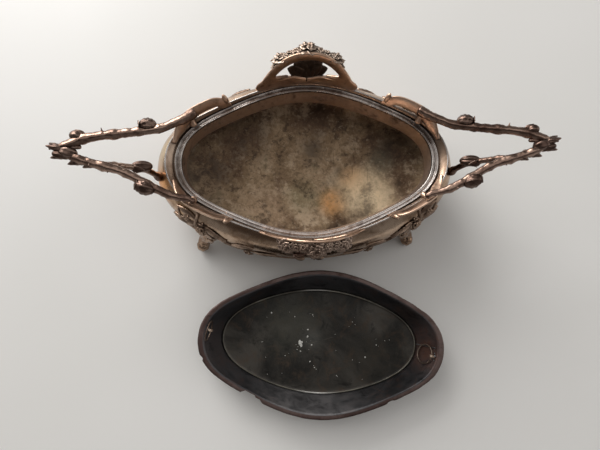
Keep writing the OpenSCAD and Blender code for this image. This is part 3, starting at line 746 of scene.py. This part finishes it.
def petal(shape, origin, frame_axes, turn, reach, width, lift, curl, thick, wave, seed):
    """One cupped petal. reach is its length, lift its rise, curl how far its lip turns out."""
    a, b, d = frame_axes
    radial = a * math.cos(turn) + b * math.sin(turn)
    side = -a * math.sin(turn) + b * math.cos(turn)
    rows = []
    for i in range(9):
        u = i / 8
        w = width * (0.25 + 0.75 * math.sin(math.pi * min(1.0, 0.1 + 0.62 * u)))
        out = reach * (u ** 1.3) + curl * max(0, u - 0.65) * 2.2
        up = lift * math.sin(u * 1.9) - curl * max(0, u - 0.7) * 1.5
        row = []
        for j in range(9):
            v = j / 4 - 1
            ruffle = wave * u * math.sin(5.2 * v + seed) + wave * 0.6 * u * math.sin(9.5 * v + 2 * seed)
            cup = 0.28 * width * (v * v) * (1 - 0.5 * u)
            row.append(origin + radial * (out - 0.55 * cup * (1 - u)) + side * v * w + d * (up + ruffle + cup))
        rows.append(row)
    shape.sheet(rows, thick)


# Petals of a rose from its heart outwards: count, size, width, lift, curl
LAYERS = ((4, 0.42, 0.34, 0.75, 0.1), (5, 0.72, 0.44, 0.55, 0.2), (7, 0.98, 0.46, 0.3, 0.3))


def flower(shape, p, d, r, seed, layers=3):
    """Full-blown rose: a tight heart, then cupped petals that open outwards."""
    rand = random.Random(seed)
    fr = axes(d)
    p = np.array(p, float) - fr[2] * r * 0.35
    shape.ball(p - fr[2] * r * 0.15, p + fr[2] * r * 0.72, r * 0.33,
               lambda u, w: 1 + 0.22 * math.sin(3 * w + 9 * u) * u, 14, 20)
    for layer, (count, size, width, lift, curl) in enumerate(LAYERS[:layers]):
        for k in range(count):
            turn = TURN * (k + 0.5 * layer) / count + rand.uniform(-0.2, 0.2)
            reach = r * (size * rand.uniform(0.9, 1.08))
            petal(shape, p, fr, turn, reach, r * width, r * lift * rand.uniform(0.9, 1.1), r * curl,
                  r * 0.09, r * 0.055, rand.uniform(0, 6))


def leaf(shape, path, width, normal, thick=0.9, teeth=5, droop=0.0):
    """Toothed leaf with a raised midrib. normal is the way its face points, once or at each of 19 steps."""
    path = smooth(path, 19)
    normal = np.broadcast_to(np.array(normal, float), (19, 3))
    along = np.gradient(path, axis=0)
    rows = []
    for i in range(19):
        u = i / 18
        t = unit(along[i])
        n = unit(normal[i] - t * np.dot(normal[i], t))
        side = np.cross(n, t)
        w = width * math.sin(math.pi * min(1, 0.04 + 0.96 * u ** 0.75)) ** 0.85
        w *= 1 + 0.16 * abs(math.sin(teeth * math.pi * u)) - 0.06
        row = []
        for j in range(9):
            v = j / 4 - 1
            rib = 0.35 * width * (1 - abs(v)) ** 3 * 0.35
            vein = 0.05 * width * math.cos(TURN * (teeth * u + 1.2 * abs(v)))
            row.append(path[i] + side * v * w + n * (rib + vein - droop * v * v * width))
        rows.append(row)
    shape.sheet(rows, thick)


def body_leaf(shape, stops, width, teeth):
    """Leaf pressed on the body. stops are its (plan angle, height, stand-off)."""
    path = [skin(*q) for q in stops]
    away = [skin(t, z, out + 5) for t, z, out in stops]
    leaf(shape, path, width, smooth(away, 19) - smooth(path, 19), 0.9, teeth, 0.3)


# Roses on an arch: plan angle from the middle, height over the rim, stand-off, way it faces, radius, seed
SIDE_ROSES = ((-9.4, 28.5, 6.0, (0.2, 0.8, 0.8), 7.8, 3), (-11.8, 25, 4.0, (0.5, 0.8, 0.5), 4.4, 11),
              (-6.6, 33, 5.4, (0.1, 0.7, 0.9), 4.8, 14))
CENTRE_ROSES = ((0, 35.5, 7.5, (0, 0.75, 0.9), 8.8, 5), (-4.2, 36, 4.6, (0.3, 0.4, 1), 5.0, 12),
                (4.2, 36, 4.6, (-0.3, 0.4, 1), 5.0, 13))


def bouquet(roses, size):
    shape = Shape()
    for t, z, out, way, r, seed in roses:
        flower(shape, above_rim(90 + t, rim_z + z, LEAN, out), way, r * size, seed)
    return shape


# Roses on the back arch take the cast silver, those on the front its darker copy as painted shade.
for face, size, mat in zip(FACES, (1.0, 0.84), (back_rose_mat, front_rose_shade_mat)):
    place(bouquet(SIDE_ROSES, size), "rose_{}_bloom", "rose_{}", mat, "cast_silver", ENDS, [face])
    place(bouquet(CENTRE_ROSES, size), "rose_{}_centre_bloom", "rose_{}_centre", mat, "cast_silver", faces=[face])

stem_piece = Shape()
top = above_rim(90, rim_z + 27, LEAN, 3)
stem_piece.tube(smooth([top, top + [-8, 5, -5], top + [-16.4, 7.8, -5]], 26), [2.2, 2.6, 2.2, 2.5], bark=0.16)
leaf(stem_piece, [top + [3, 1, -3], top + [8, 4, -5], top + [13, 5.5, -9]], 3.1, [0.2, 1, 0.6], 1.0)
leaf(stem_piece, [top + [-4, 2, -5], top + [-7, 4, -9], top + [-9, 4, -14]], 2.4, [-0.2, 1, 0.4], 0.9)
place(stem_piece, "rose_stem_{}_twig", "rose_stem_{}", branch_mat, "cast_silver")


# ---- Handles, drawn on the right ----

TIP_X, TIP_Z, ROOT_X, ROOT_Z = 210.0, 113.0, 100, 89


def at_branch(x, y, dz=0.0):
    """Point on the slope that both branches of a handle follow."""
    return np.array([x, y, ROOT_Z + (TIP_Z - ROOT_Z) * (x - ROOT_X) / (TIP_X - ROOT_X) + dz])


def knobbly(count, base, knots, seed):
    """Radii along a branch with knots, each (place, size, width)."""
    rand = random.Random(seed)
    out = []
    for i in range(count):
        u = i / (count - 1)
        r = base(u)
        for at, size, wide in knots:
            r += size * math.exp(-((u - at) / wide) ** 2)
        out.append(r + 0.05 * rand.uniform(-1, 1))
    return out


def thorn(shape, p, d, length, r):
    p, d = np.array(p, float), unit(np.array(d, float))
    shape.tube([p + d * length * k / 5 for k in range(6)], [r, r * 0.75, r * 0.5, r * 0.3, r * 0.15], 9)


def branch(stops, base, knots, seed, thorns):
    shape = Shape()
    shape.tube(smooth([at_branch(*p) for p in stops], 90), knobbly(90, base, knots, seed), 18,
               bark=0.14, ribs=0.06, rib_count=5)
    for where, way, length, r in thorns:
        thorn(shape, at_branch(*where), way, length, r)
    return shape


back_branch = branch(
    ((99, 38.5), (104, 34.5), (112, 30), (126, 23), (148, 18), (178, 12), (196, 4), (206, 1)),
    lambda u: 4.6 - 1.2 * min(1, u * 5) + 0.35 * u - 3.0 * max(0, u - 0.86) / 0.14,
    ((0.27, 0.7, 0.03), (0.42, 0.4, 0.02), (0.58, 0.8, 0.03), (0.78, 0.7, 0.03), (0.9, 0.7, 0.03)), 1,
    (((168, 14), (0.2, 1, 0.5), 6.5, 2.0), ((118, 25), (0.4, -1, 0.3), 4.0, 1.7),
     ((160, 15, 2), (0.5, 0.2, 1), 4.0, 1.5)))
front_branch = branch(
    ((99, -38.5), (104, -36.2), (116, -34), (133, -26), (154, -15), (176, -9), (196, -3)),
    lambda u: 2.3 + 1.1 * min(1, u * 4) - 0.1 * u - 1.6 * max(0, u - 0.88) / 0.12,
    ((0.2, 0.5, 0.03), (0.37, 0.8, 0.03), (0.55, 0.5, 0.02), (0.7, 0.9, 0.04), (0.92, 0.8, 0.04)), 2,
    (((163, -12), (0.3, -1, 0.2), 5.0, 1.9), ((122, -32, 1), (0.6, -0.5, 0.9), 4.0, 1.6)))
twig_piece = Shape()
twig_piece.tube(smooth([at_branch(169, -10), [155, -7, 87], [143, -7, 75], [137, -8, 65], skin(-7, 57, 0.6)], 60),
                knobbly(60, lambda u: 2.5 + 0.2 * u, ((0.2, 0.5, 0.05), (0.5, 0.6, 0.05), (0.95, 1.3, 0.06)), 3),
                14, bark=0.16)
thorn(twig_piece, [149, -8, 81], [-0.2, -1, 0.3], 4.5, 1.5)

crotch = Shape()
rows = []
for i in range(17):
    u = i / 16
    row = []
    for j in range(11):
        v = j / 5 - 1
        x = 179 + 21 * u + 9 * (1 - u) * (1 - v * v)
        y = (2 + (-1.8 * u)) + v * (8.2 * (1 - u) ** 0.8 + 1.4)
        rise = -0.4 + 1.3 * (1 - abs(v)) ** 2 - 1.6 * (1 - u) * (1 - v * v) + 0.25 * math.cos(14 * u)
        row.append(at_branch(x, y, rise))
    rows.append(row)
crotch.sheet(rows, 2.2)

tip = Shape()
for p, q, w, up in (
        ((192, 0, 0), (208.6, 3.5, 0), 2.6, (0, 0.2, 1)), ((188, -3, -1), (206, -5.5, -2.5), 2.9, (0, -0.3, 1)),
        ((178, -6, -2), (194, -10, -3), 3.4, (0.1, -0.4, 1)), ((184, 4, -1), (200, 6, -2.5), 3.0, (0, 0.4, 1)),
        ((170, -9, -1), (183, -12.5, -2), 2.8, (0.1, -0.5, 1)), ((196, 2, 0), (207.5, 6.5, -3), 2.0, (0, 0.5, 1))):
    s, e = at_branch(*p), at_branch(*q)
    leaf(tip, [s, (s + e) / 2 + [0, 0, 2.4], e], w, up, 1.3, 4, 0.25)
tip.ball(at_branch(186, -2, 0), at_branch(199, -1, 1.5), 4.6, lambda u, w: 1 + 0.12 * math.cos(5 * w + 6 * u))
tip.ball(at_branch(194, -4, 0), at_branch(204, -2.5, 0.5), 2.9, lambda u, w: 1 + 0.14 * math.cos(5 * w))
tip.ball(at_branch(196, 1.5, 0.5), at_branch(205, 2, 1.0), 2.7, lambda u, w: 1 + 0.14 * math.cos(5 * w + 1))
thorn(tip, at_branch(176, -8, 1), [0.3, -1, 0.6], 5.0, 1.8)


def berry(u, w):
    """Relief of a berry-like bud."""
    return (1 + 0.15 * math.cos(7 * w + 2.5 * math.cos(14 * u)) * math.sin(math.pi * u) * math.cos(20 * u)
            + 0.05 * math.cos(9 * w))


def sepals(shape, origin, way, turns, size):
    """Small pointed leaves round a bud. size is reach, width, lift, curl, thickness, wave."""
    for seed, turn in enumerate(turns):
        petal(shape, origin, axes(way), turn, *size, seed)


round_bud = Shape()
round_bud.ball(at_branch(128, 26), at_branch(142, 24.5, 1), 5.6, berry, 22, 30)
sepals(round_bud, at_branch(139, 24.8, 0.8), at_branch(142, 24.5, 1) - at_branch(128, 26),
       [k * 1.257 for k in range(5)], (3.4, 2.3, 3.2, 0.6, 0.6, 0.2))
oval_bud = Shape()
oval_bud.ball(at_branch(145, -25), at_branch(129, -31, 1), 5.5, berry, 22, 30)
sepals(oval_bud, at_branch(140, -27, 0.4), at_branch(145, -25) - at_branch(129, -31, 1),
       [k * 1.57 + 0.4 for k in range(4)], (3.6, 2.6, 3.4, 0.5, 0.7, 0.2))
tulip_bud = Shape()
tulip_bud.ball([153, -6, 82], [136, -4, 76], 4.9, lambda u, w: (1 + 0.11 * math.cos(8 * w)) * (1.0 - 0.1 * u), 22, 40)
leaf(tulip_bud, [[152, -7, 84], [147, -9, 84], [141, -9, 82]], 3.0, [0, -0.5, 1], 0.9)
for k in range(4):
    c = np.array([158.0 + 3.2 * k, -9.5 - 0.4 * k, 89.5 + 2.2 * k])
    tulip_bud.ball(c - [1.9, 0, 0.8], c + [1.9, 0, 0.8], 1.9, None, 10, 12)
small_bud = Shape()
small_bud.ball(at_branch(182.5, 12), at_branch(192.4, 13, 1), 4.3,
               lambda u, w: 1 + 0.14 * math.cos(5 * w) * (1 - u), 18, 30)
leaf(small_bud, [at_branch(180, 11, 1), at_branch(184, 15, 2.5), at_branch(188, 17, 2)], 2.2, [0, 0.3, 1], 0.8)

for end in ENDS:
    for name, shape in (("branch_back", back_branch), ("branch_front", front_branch), ("twig", twig_piece)):
        place(shape, name + "_{}_cast", name + "_{}", branch_mat, "branch_silver", [end], MIDDLE)
    for name, shape in (("crotch_leaf", crotch), ("tip_leaves", tip), ("round_bud", round_bud),
                        ("oval_bud", oval_bud), ("tulip_bud", tulip_bud), ("small_bud", small_bud)):
        place(shape, name + "_{}_cast", name + "_{}", bud_mat, "cast_silver", [end], MIDDLE)


# ---- Feet, mounts and sprays, drawn at the back right ----

FOOT_X, FOOT_Y = 103.0, 66.0
foot_piece = Shape()
foot_piece.tube(smooth([skin(48, 36, 2.6), skin(48, 33, 5), [FOOT_X - 3.5, FOOT_Y - 6.5, 15],
                        [FOOT_X - 0.4, FOOT_Y - 1.5, 8.2], [FOOT_X + 0.6, FOOT_Y + 0.6, 4.5]], 40),
                [4.6, 6.6, 6.4, 5.9, 5.4], 36, ref=[0, 1, 0], ribs=0.09, rib_count=7)
foot_piece.ball([FOOT_X + 1.2, FOOT_Y + 1.2, 0], [FOOT_X + 0.2, FOOT_Y + 0.2, 12.4], 6.2,
                lambda u, w: 1 + 0.05 * math.cos(7 * w))
foot_piece.points = [[x, y, max(z, 0.0)] for x, y, z in foot_piece.points]

mount_piece = Shape()
mount_path = [above_rim(37.5, z, 0, 2) for z in (84, 74)] + [skin(39 + 2.2 * i, 64 - 8 * i, 0.9) for i in range(5)]
mount_piece.tube(smooth(mount_path, 60), [2.4, 1.9, 1.8, 2.2, 2.8], 14, ref=[1, 0, 0], bark=0.16)
flower(mount_piece, skin(44.5, 54, 2.2), [0.6, 0.6, 0.7], 6.4, 21)
flower(mount_piece, skin(36, 58, 2.0), [0.7, 0.4, 0.7], 4.2, 22, 2)
for stops, width, teeth in (([(46, 57, 1.4), (51, 53, 2.2), (57, 50, 1.2)], 4.4, 6),
                            ([(41, 54, 1.4), (34, 49, 2.2), (28, 47, 1.0)], 4.6, 6),
                            ([(46, 50, 1.6), (49.5, 43, 2.4), (51, 36, 1.6)], 4.0, 5),
                            ([(40, 60, 1.4), (33, 61, 2.0), (27, 60, 1.0)], 3.2, 5)):
    body_leaf(mount_piece, stops, width, teeth)
for t0, t1, z0, z1 in ((33, 46, 62, 34), (29, 44, 58, 33)):
    vine = [skin(t0 + (t1 - t0) * k / 4, z0 + (z1 - z0) * (k / 4) ** 0.8, 0.5) for k in range(5)]
    mount_piece.tube(smooth(vine, 40), [1.1, 1.5, 1.7], 10, ref=[1, 0, 0], bark=0.12)

spray_piece = Shape()
spray_piece.tube(smooth([skin(51 + 3.9 * i, 52 - 4.2 * i, 0.6) for i in range(5)], 40), [1.2, 1.5, 1.5], 10, bark=0.15)
flower(spray_piece, skin(66, 37.5, 2.4), [0.4, 1, 0.1], 5.6, 31, 2)
for stops, width in (([(59, 45, 1.0), (63, 50, 1.6), (68, 53, 0.8)], 3.2),
                     ([(62, 41, 1.0), (60, 36, 1.8), (56, 32, 0.9)], 3.4),
                     ([(68, 40, 1.0), (72, 44, 1.8), (77, 46, 0.8)], 3.0)):
    body_leaf(spray_piece, stops, width, 5)
spray_piece.tube(smooth([skin(66, 40, 0.6), skin(73, 42, 0.7), skin(80, 40, 0.6), skin(86, 43, 0.5)], 40),
                 [1.2, 1.0, 0.8], 10, bark=0.12)
spray_piece.ball(skin(84.5, 43.5, 0.6), skin(88, 45, 1.2), 1.9, lambda u, w: 1 + 0.1 * math.cos(5 * w))

for end in ENDS:
    for face in FACES:
        for name, shape, mat, slot in (("foot", foot_piece, foot_mat, "branch_silver"),
                                       ("leaf_mount", mount_piece, relief_mat, "cast_silver"),
                                       ("spray", spray_piece, relief_mat, "cast_silver")):
            place(shape, name + "_{}_cast", name + "_{}", mat, slot, [end], [face])


# ---- Liner ----

LINER_X, LINER_GAP, LINER_TURN = 10.5, 165.4, -5 * RAD
liner_h = corners("liner_wall")[1][2]
flange_a, flange_b, flange_w = 117.5, 69.25, 6.0
wall_a, wall_b = flange_a - flange_w, flange_b - flange_w + 1
floor_a, floor_b, floor_pinch = 98.0, 52.0, 0.05
SHEET = 1.0
cos_l, sin_l = math.cos(LINER_TURN), math.sin(LINER_TURN)


def on_liner(x, y, z):
    """Liner's own point to the bowl's frame."""
    return [LINER_X + cos_l * x - sin_l * y, -LINER_GAP + sin_l * x + cos_l * y, z]


def wall_at(u, inset=0.0):
    """Half length, half width, height and pinch of the wall at a share u of its height."""
    return (floor_a + (wall_a - floor_a) * u - inset, floor_b + (wall_b - floor_b) * u - inset,
            (liner_h - SHEET) * u, floor_pinch + (PINCH - floor_pinch) * u)


def notch(t, centre, wide, soft=1.2):
    """1 within wide degrees of the centre, 0 beyond."""
    d = abs((t - centre + 180) % 360 - 180)
    return 1 - blend(d, wide, wide + soft)


# Places round the flange's section: share of its reach in length and in width, shift, height from its top
FLANGE = ((0.5, 0.42, 0, -SHEET), (1, 0.84, -0.2, -SHEET - 0.15), (1, 0.84, 0, -0.65), (1, 0.84, -0.2, -0.15),
          (0.66, 0.56, 0, 0), (0.2, 0.17, 0, -0.1), (0, 0, 0.1, -0.15), (0, 0, -0.6, -0.6))
AROUND, WALL_STEPS = 320, 8

liner = Shape()
rows = []
for j in range(AROUND):
    t = 360 * j / AROUND
    c, s = math.cos(t * RAD), math.sin(t * RAD)
    broken = min(1.0, notch(t, 234.5, 3.2, 0.5) * 0.8 + notch(t, 240, 1.6, 0.5) * 0.45 + notch(t, 196, 0.8) * 0.2
                 + notch(t, 305, 1.1) * 0.2)
    ragged = 0.35 * ripple((c * 9, s * 9, 3), 1) + 0.2 * ripple((t * 0.9, 5, 1), 1)
    wavy = 0.5 * ripple((c * 2.2, s * 2.2, 8), 1)
    reach = max(0.25, (1 - broken)) * flange_w - 0.3 + min(0.3, ragged)
    section = [wall_at(k / WALL_STEPS) for k in range(WALL_STEPS + 1)]
    section += [(wall_a + reach * long + shift, wall_b + reach * wide + shift, liner_h + up, PINCH)
                for long, wide, shift, up in FLANGE]
    for k in range(WALL_STEPS, -1, -1):
        a, b, z, pinch = wall_at(k / WALL_STEPS, SHEET)
        section.append((a, b, max(0.4, z - (0.6 if k == WALL_STEPS else 0)), pinch))
    row = []
    for a, b, z, pinch in section:
        x, y = oval(a, b, t, pinch)
        dent = 0.45 * ripple((x, y, z * 2), 0.045) * blend(z, 1, 10) * (1 - blend(z, liner_h - 3, liner_h))
        row.append(on_liner(x + dent * c, y + dent * s, z + 0.35 * (wavy - 1) * blend(z, 15, liner_h)))
    rows.append(row)
liner.grid(rows, wrap_rows=True, wrap_columns=True)
per = len(rows[0])
liner.marks = [1 if 9 <= (k % per) <= 13 else (2 if k % per > 13 else 0) for k in range(len(liner.faces))]


def liner_stain_and_sheen(x, y, z, r, tint, weight):
    """A rust or staining patch, or a patch of painted reflection, at the liner's own place."""
    return on_liner(x, y, z), r, tint, weight


RUST = (0.13, 0.065, 0.042)
outer_tin = tin("liner_outside", (0.05, 0.045, 0.042), (0.11, 0.10, 0.095), RUST, 0.42, 0.5, 0.2)
flange_tin = tin("liner_flange", (0.088, 0.056, 0.05), (0.16, 0.115, 0.105), (0.06, 0.03, 0.024), 0.34, 0.7, 0.5)
# Inside wall: the pale grey patch at the front, (-10, -60), is a painted reflection; the other patches are rust and
# staining.
inner_tin = tin("liner_inside", (0.04, 0.039, 0.042), (0.10, 0.10, 0.106), RUST, 0.38, 0.5, 0.8, (
    liner_stain_and_sheen(104, 0, 14, 34, (0.15, 0.075, 0.055), 0.85), liner_stain_and_sheen(88, 38, 14, 26, (0.12, 0.075, 0.055), 0.7),
    liner_stain_and_sheen(-10, -60, 14, 80, (0.21, 0.205, 0.21), 0.9), liner_stain_and_sheen(-102, -6, 14, 34, (0.10, 0.078, 0.075), 0.8)))
floor_tin = tin("liner_floor", (0.024, 0.023, 0.021), (0.085, 0.078, 0.068), (0.10, 0.07, 0.05), 0.38, 0.75, 1.1, (
    liner_stain_and_sheen(-30, 14, 1, 46, (0.075, 0.075, 0.062), 0.7), liner_stain_and_sheen(50, -12, 1, 40, (0.05, 0.045, 0.036), 0.6),
    liner_stain_and_sheen(-8, 2, 1, 16, (0.13, 0.13, 0.12), 0.6)))
seam_tin = tin("liner_solder", (0.10, 0.105, 0.11), (0.22, 0.225, 0.23), RUST, 0.34, 0.3, 1.7)
# The bead's pale patches at the middle of the back and front long sides are painted highlights.
bead_tin = tin("liner_bead", (0.11, 0.105, 0.09), (0.27, 0.255, 0.215), (0.14, 0.11, 0.08), 0.36, 0.6, 2.9, (
    liner_stain_and_sheen(-6, 50, 1, 20, (0.45, 0.45, 0.44), 0.9), liner_stain_and_sheen(-2, -50, 1, 26, (0.75, 0.74, 0.72), 0.95)))
liner.make("liner_pan", [outer_tin, flange_tin, inner_tin], "liner", "liner_wall_tin", ["liner_wall"])

# Floor sheet, slightly buckled, with its solder bead and the crease inside it: inset, height
BEAD = ((1, 0), (1, 0.8), (1.2, 1.3), (1.9, 1.55), (2.6, 1.3), (3.0, 1.0), (4.2, 0.9))
floor_piece = Shape()
rows = []
for j in range(AROUND):
    t = 360 * j / AROUND
    row = []
    for inset, z in BEAD:
        x, y = oval(floor_a - inset, floor_b - inset, t, floor_pinch)
        row.append([x, y, z + (0.14 * ripple((t * 0.6, z, 2), 1) if 1 < z else 0)])
    for s in (0.93, 0.86, 0.76, 0.66, 0.55, 0.44, 0.33, 0.22, 0.11, 0.02):
        x, y = oval((floor_a - 4.2) * s, (floor_b - 4.2) * s, t, floor_pinch * s)
        row.append([x, y, 0.95 + 0.35 * (1 - s) * ripple((x * 0.03, y * 0.03, 4), 1)
                    + 0.10 * ripple((x * 0.15, y * 0.15, 7), 1) * (1 - s ** 4)])
    rows.append([on_liner(*p) for p in row])
floor_piece.grid(rows, wrap_rows=True)
per = len(rows[0])
floor_piece.marks = [1 if 1 <= k % (per - 1) <= 3 else 0 for k in range(len(floor_piece.faces))]
floor_piece.faces.append([j * per for j in range(AROUND)])
floor_piece.faces.append([j * per + per - 1 for j in range(AROUND)][::-1])
floor_piece.marks += [0, 0]
floor_piece.make("liner_base", [floor_tin, bead_tin], "liner", "liner_floor_tin", ["liner_floor"])

# Side seam, and solder at the ring pulls: plan angle from the pull, share of the height, radius
SOLDER = ((0.0, 0.93, 2.0), (2.2, 0.90, 1.2), (-2.4, 0.88, 1.3), (1.0, 0.80, 1.0), (-3.6, 0.94, 0.9))
PULL_T = -6.5
solder = Shape()
seam = []
for k in range(9):
    u = 0.06 + 0.86 * k / 8
    a, b, z, pinch = wall_at(u, SHEET + 0.1)
    seam.append(on_liner(*oval(a, b, 1.5 - 1.2 * u, pinch), z))
solder.tube(smooth(seam, 40), [0.55, 0.4, 0.5, 0.4, 0.6], 10, ref=[0, 1, 0], bark=0.35)
for half_turn in (0, 180):
    for dt, u, r in SOLDER:
        a, b, z, _ = wall_at(u, SHEET)
        c = np.array(on_liner(*oval(a, b, PULL_T + dt + half_turn), z))
        solder.ball(c - [0, 0, r * 0.7], c + [0, 0, r * 0.7], r * 0.62, lambda k, w: 1 + 0.12 * math.cos(3 * w))
solder.make("liner_seam", [seam_tin], "liner", "liner_wall_tin", [])

# Lime and paint specks, thin raised crusts on the floor: place, radius
SPECKS = ((-19.5, -2.6, 2.1), (-18.6, -5.4, 1.4), (-12.5, 10.4, 0.8), (-12.6, 3.4, 0.9), (-8.2, -4.4, 0.8),
          (-19.0, -11.0, 0.7), (-8.6, 25.0, 0.6), (-26.5, 22.4, 0.6), (-50, 25.0, 0.8), (-9.0, -20.5, 0.6),
          (-4.2, -26, 0.5), (46, -14.0, 0.8), (57, -1.5, 0.6), (18, -33, 0.4), (-34, -16, 0.4),
          (-58, -4, 0.35), (32, 20, 0.4), (70, 4, 0.35))
specks = Shape()


def crust(x, y, r, seed):
    """Irregular flat flake."""
    rand = random.Random(seed)
    edge = []
    for k in range(14):
        w, rr = TURN * k / 14, r * rand.uniform(0.65, 1.25)
        edge.append((rr * math.cos(w), rr * 1.15 * math.sin(w)))
    specks.column([[on_liner(x + dx * s, y + dy * s, 1.0 + h) for dx, dy in edge]
                   for s, h in ((1.0, -0.3), (1.0, 0.12), (0.8, 0.32), (0.4, 0.4), (0.05, 0.4))])


for k, (x, y, r) in enumerate(SPECKS):
    crust(x, y, r, k + 2)
    crust(x + rng.uniform(-6, 6), y + rng.uniform(-6, 6), rng.uniform(0.2, 0.4), 100 + 3 * k)
for k in range(12):
    w, s = rng.uniform(0, TURN), math.sqrt(rng.uniform(0, 0.85))
    crust(floor_a * 0.93 * s * math.cos(w), floor_b * 0.9 * s * math.sin(w), rng.uniform(0.18, 0.36), 300 + k)
white_mat, n, coord = start_material("lime_white")
cloud = n.noise(900.0, 4.0, 0.6, 0.0, coord)
n.finish(n.ramp(cloud, [(0.3, (0.42, 0.41, 0.37)), (0.6, (0.78, 0.78, 0.74))]), n.grey(cloud, 0.3, 0.7, 0.6, 0.8),
         cloud, 0.4, 0.0003, metallic=0.0)
specks.make("liner_specks", [white_mat], "liner", "liner_floor_tin", [])

# Ring pulls, each a bent wire round the CAD ring's own axis, and their eyes
ring_tin = tin("ring_wire", (0.12, 0.085, 0.065), (0.26, 0.21, 0.17), RUST, 0.34, 0.5, 2.3)
WIRE_R = 0.6
for side, _ in ENDS:
    co = np.array([v.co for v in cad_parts[f"ring_pull_{side}"].data.vertices], float) / MM
    middle = co.mean(axis=0)
    a, b = np.linalg.svd(co - middle, full_matrices=False)[2][:2]
    axis = np.cross(a, b)
    radius = max(np.linalg.norm(co - middle, axis=1)) - WIRE_R
    rows = []
    for j in range(96):
        w = TURN * j / 96
        d = a * math.cos(w) + b * math.sin(w)
        thick = WIRE_R * (1 + 0.06 * math.sin(7 * w))
        rows.append([middle - [0, mid_y, 0] + d * (radius + thick * math.cos(s)) + axis * thick * math.sin(s)
                     for s in [TURN * k / 12 for k in range(12)]])
    wire_ring = Shape()
    wire_ring.grid(rows, wrap_rows=True, wrap_columns=True)
    wire_ring.make(f"ring_wire_{side}", [ring_tin], f"ring_{side}", "ring_wire", [f"ring_pull_{side}"])
for side, _ in ENDS:
    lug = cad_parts[f"ring_lug_{side}"]
    lug.data.materials.clear()
    lug.data.materials.append(ring_tin)


# ---- Table, light and camera ----

table_mat, n, coord = start_material("table")
tint = n.ramp(n.noise(3.0, 2.0, 0.5, 0.0, coord), [(0.35, (0.80, 0.795, 0.775)), (0.65, (0.84, 0.835, 0.82))])
n.finish(tint, n.grey(n.noise(8.0, 2.0, 0.5, 0.0, coord), 0.3, 0.7, 0.42, 0.5), n.noise(60.0, 2.0, 0.5, 0.0, coord),
         0.02, 0.0002, metallic=0.0)
bpy.ops.mesh.primitive_plane_add(size=6, location=(0, 0, -0.0002))
table = bpy.context.active_object
table.name = "table_top"
table.data.materials.append(table_mat)

world = bpy.data.worlds.new("room")
bpy.context.scene.world = world
world.use_nodes = True
w = Nodes(world.node_tree)
way = w.node("ShaderNodeTexCoord").outputs["Generated"]


def patch(direction, inner, outer):
    """1 within a cone of the sky, 0 beyond; inner and outer are cosines."""
    d = tuple(Vector(direction).normalized())
    dot = w.node("ShaderNodeVectorMath", {0: way, 1: d}, operation="DOT_PRODUCT").outputs["Value"]
    return w.grey(dot, outer, inner)


sky = w.mix(patch((-0.55, 0.65, 0.45), 0.93, 0.80), (0.22, 0.215, 0.21), (2.2, 2.15, 2.08))
sky = w.mix(patch((0.9, 0.2, 0.35), 0.95, 0.86), sky, (0.9, 0.88, 0.85))
sky = w.mix(patch((-0.1, -0.45, 0.9), 0.93, 0.75), sky, (0.07, 0.06, 0.055))
shade = w.node("ShaderNodeBackground", {"Color": sky, "Strength": 1.0})
w.node("ShaderNodeOutputWorld", {"Surface": shade.outputs["Background"]})


def area(name, where, size, power, colour):
    """Rectangular light that faces the middle of the table."""
    light = bpy.data.lights.new(name, "AREA")
    light.shape = "RECTANGLE"
    light.size, light.size_y = size
    light.energy = power
    light.color = colour
    obj = bpy.data.objects.new(name, light)
    bpy.context.collection.objects.link(obj)
    obj.location = where
    obj.rotation_euler = (-Vector(where)).to_track_quat("-Z", "Y").to_euler()


area("window", (-0.6, 1.1, 0.65), (0.8, 0.6), 11.4, (1.0, 0.985, 0.965))
area("ceiling", (0.3, 0.3, 1.9), (1.6, 1.6), 5, (1.0, 0.98, 0.96))

camera = bpy.data.cameras.new("camera")
camera.lens, camera.sensor_width = 27.0, 36.0
camera_object = bpy.data.objects.new("camera", camera)
bpy.context.collection.objects.link(camera_object)
turn = Matrix.Rotation(0.14268, 4, "X") @ Matrix.Rotation(-0.06084, 4, "Y") @ Matrix.Rotation(-0.0258, 4, "Z")
camera_object.matrix_world = Matrix.Translation((-0.0338, (-114.1 + mid_y) * MM, 0.4611)) @ turn
camera.clip_start = 0.01
bpy.context.scene.camera = camera_object

bpy.context.scene.view_settings.view_transform = "Standard"
bpy.context.view_layer.update()
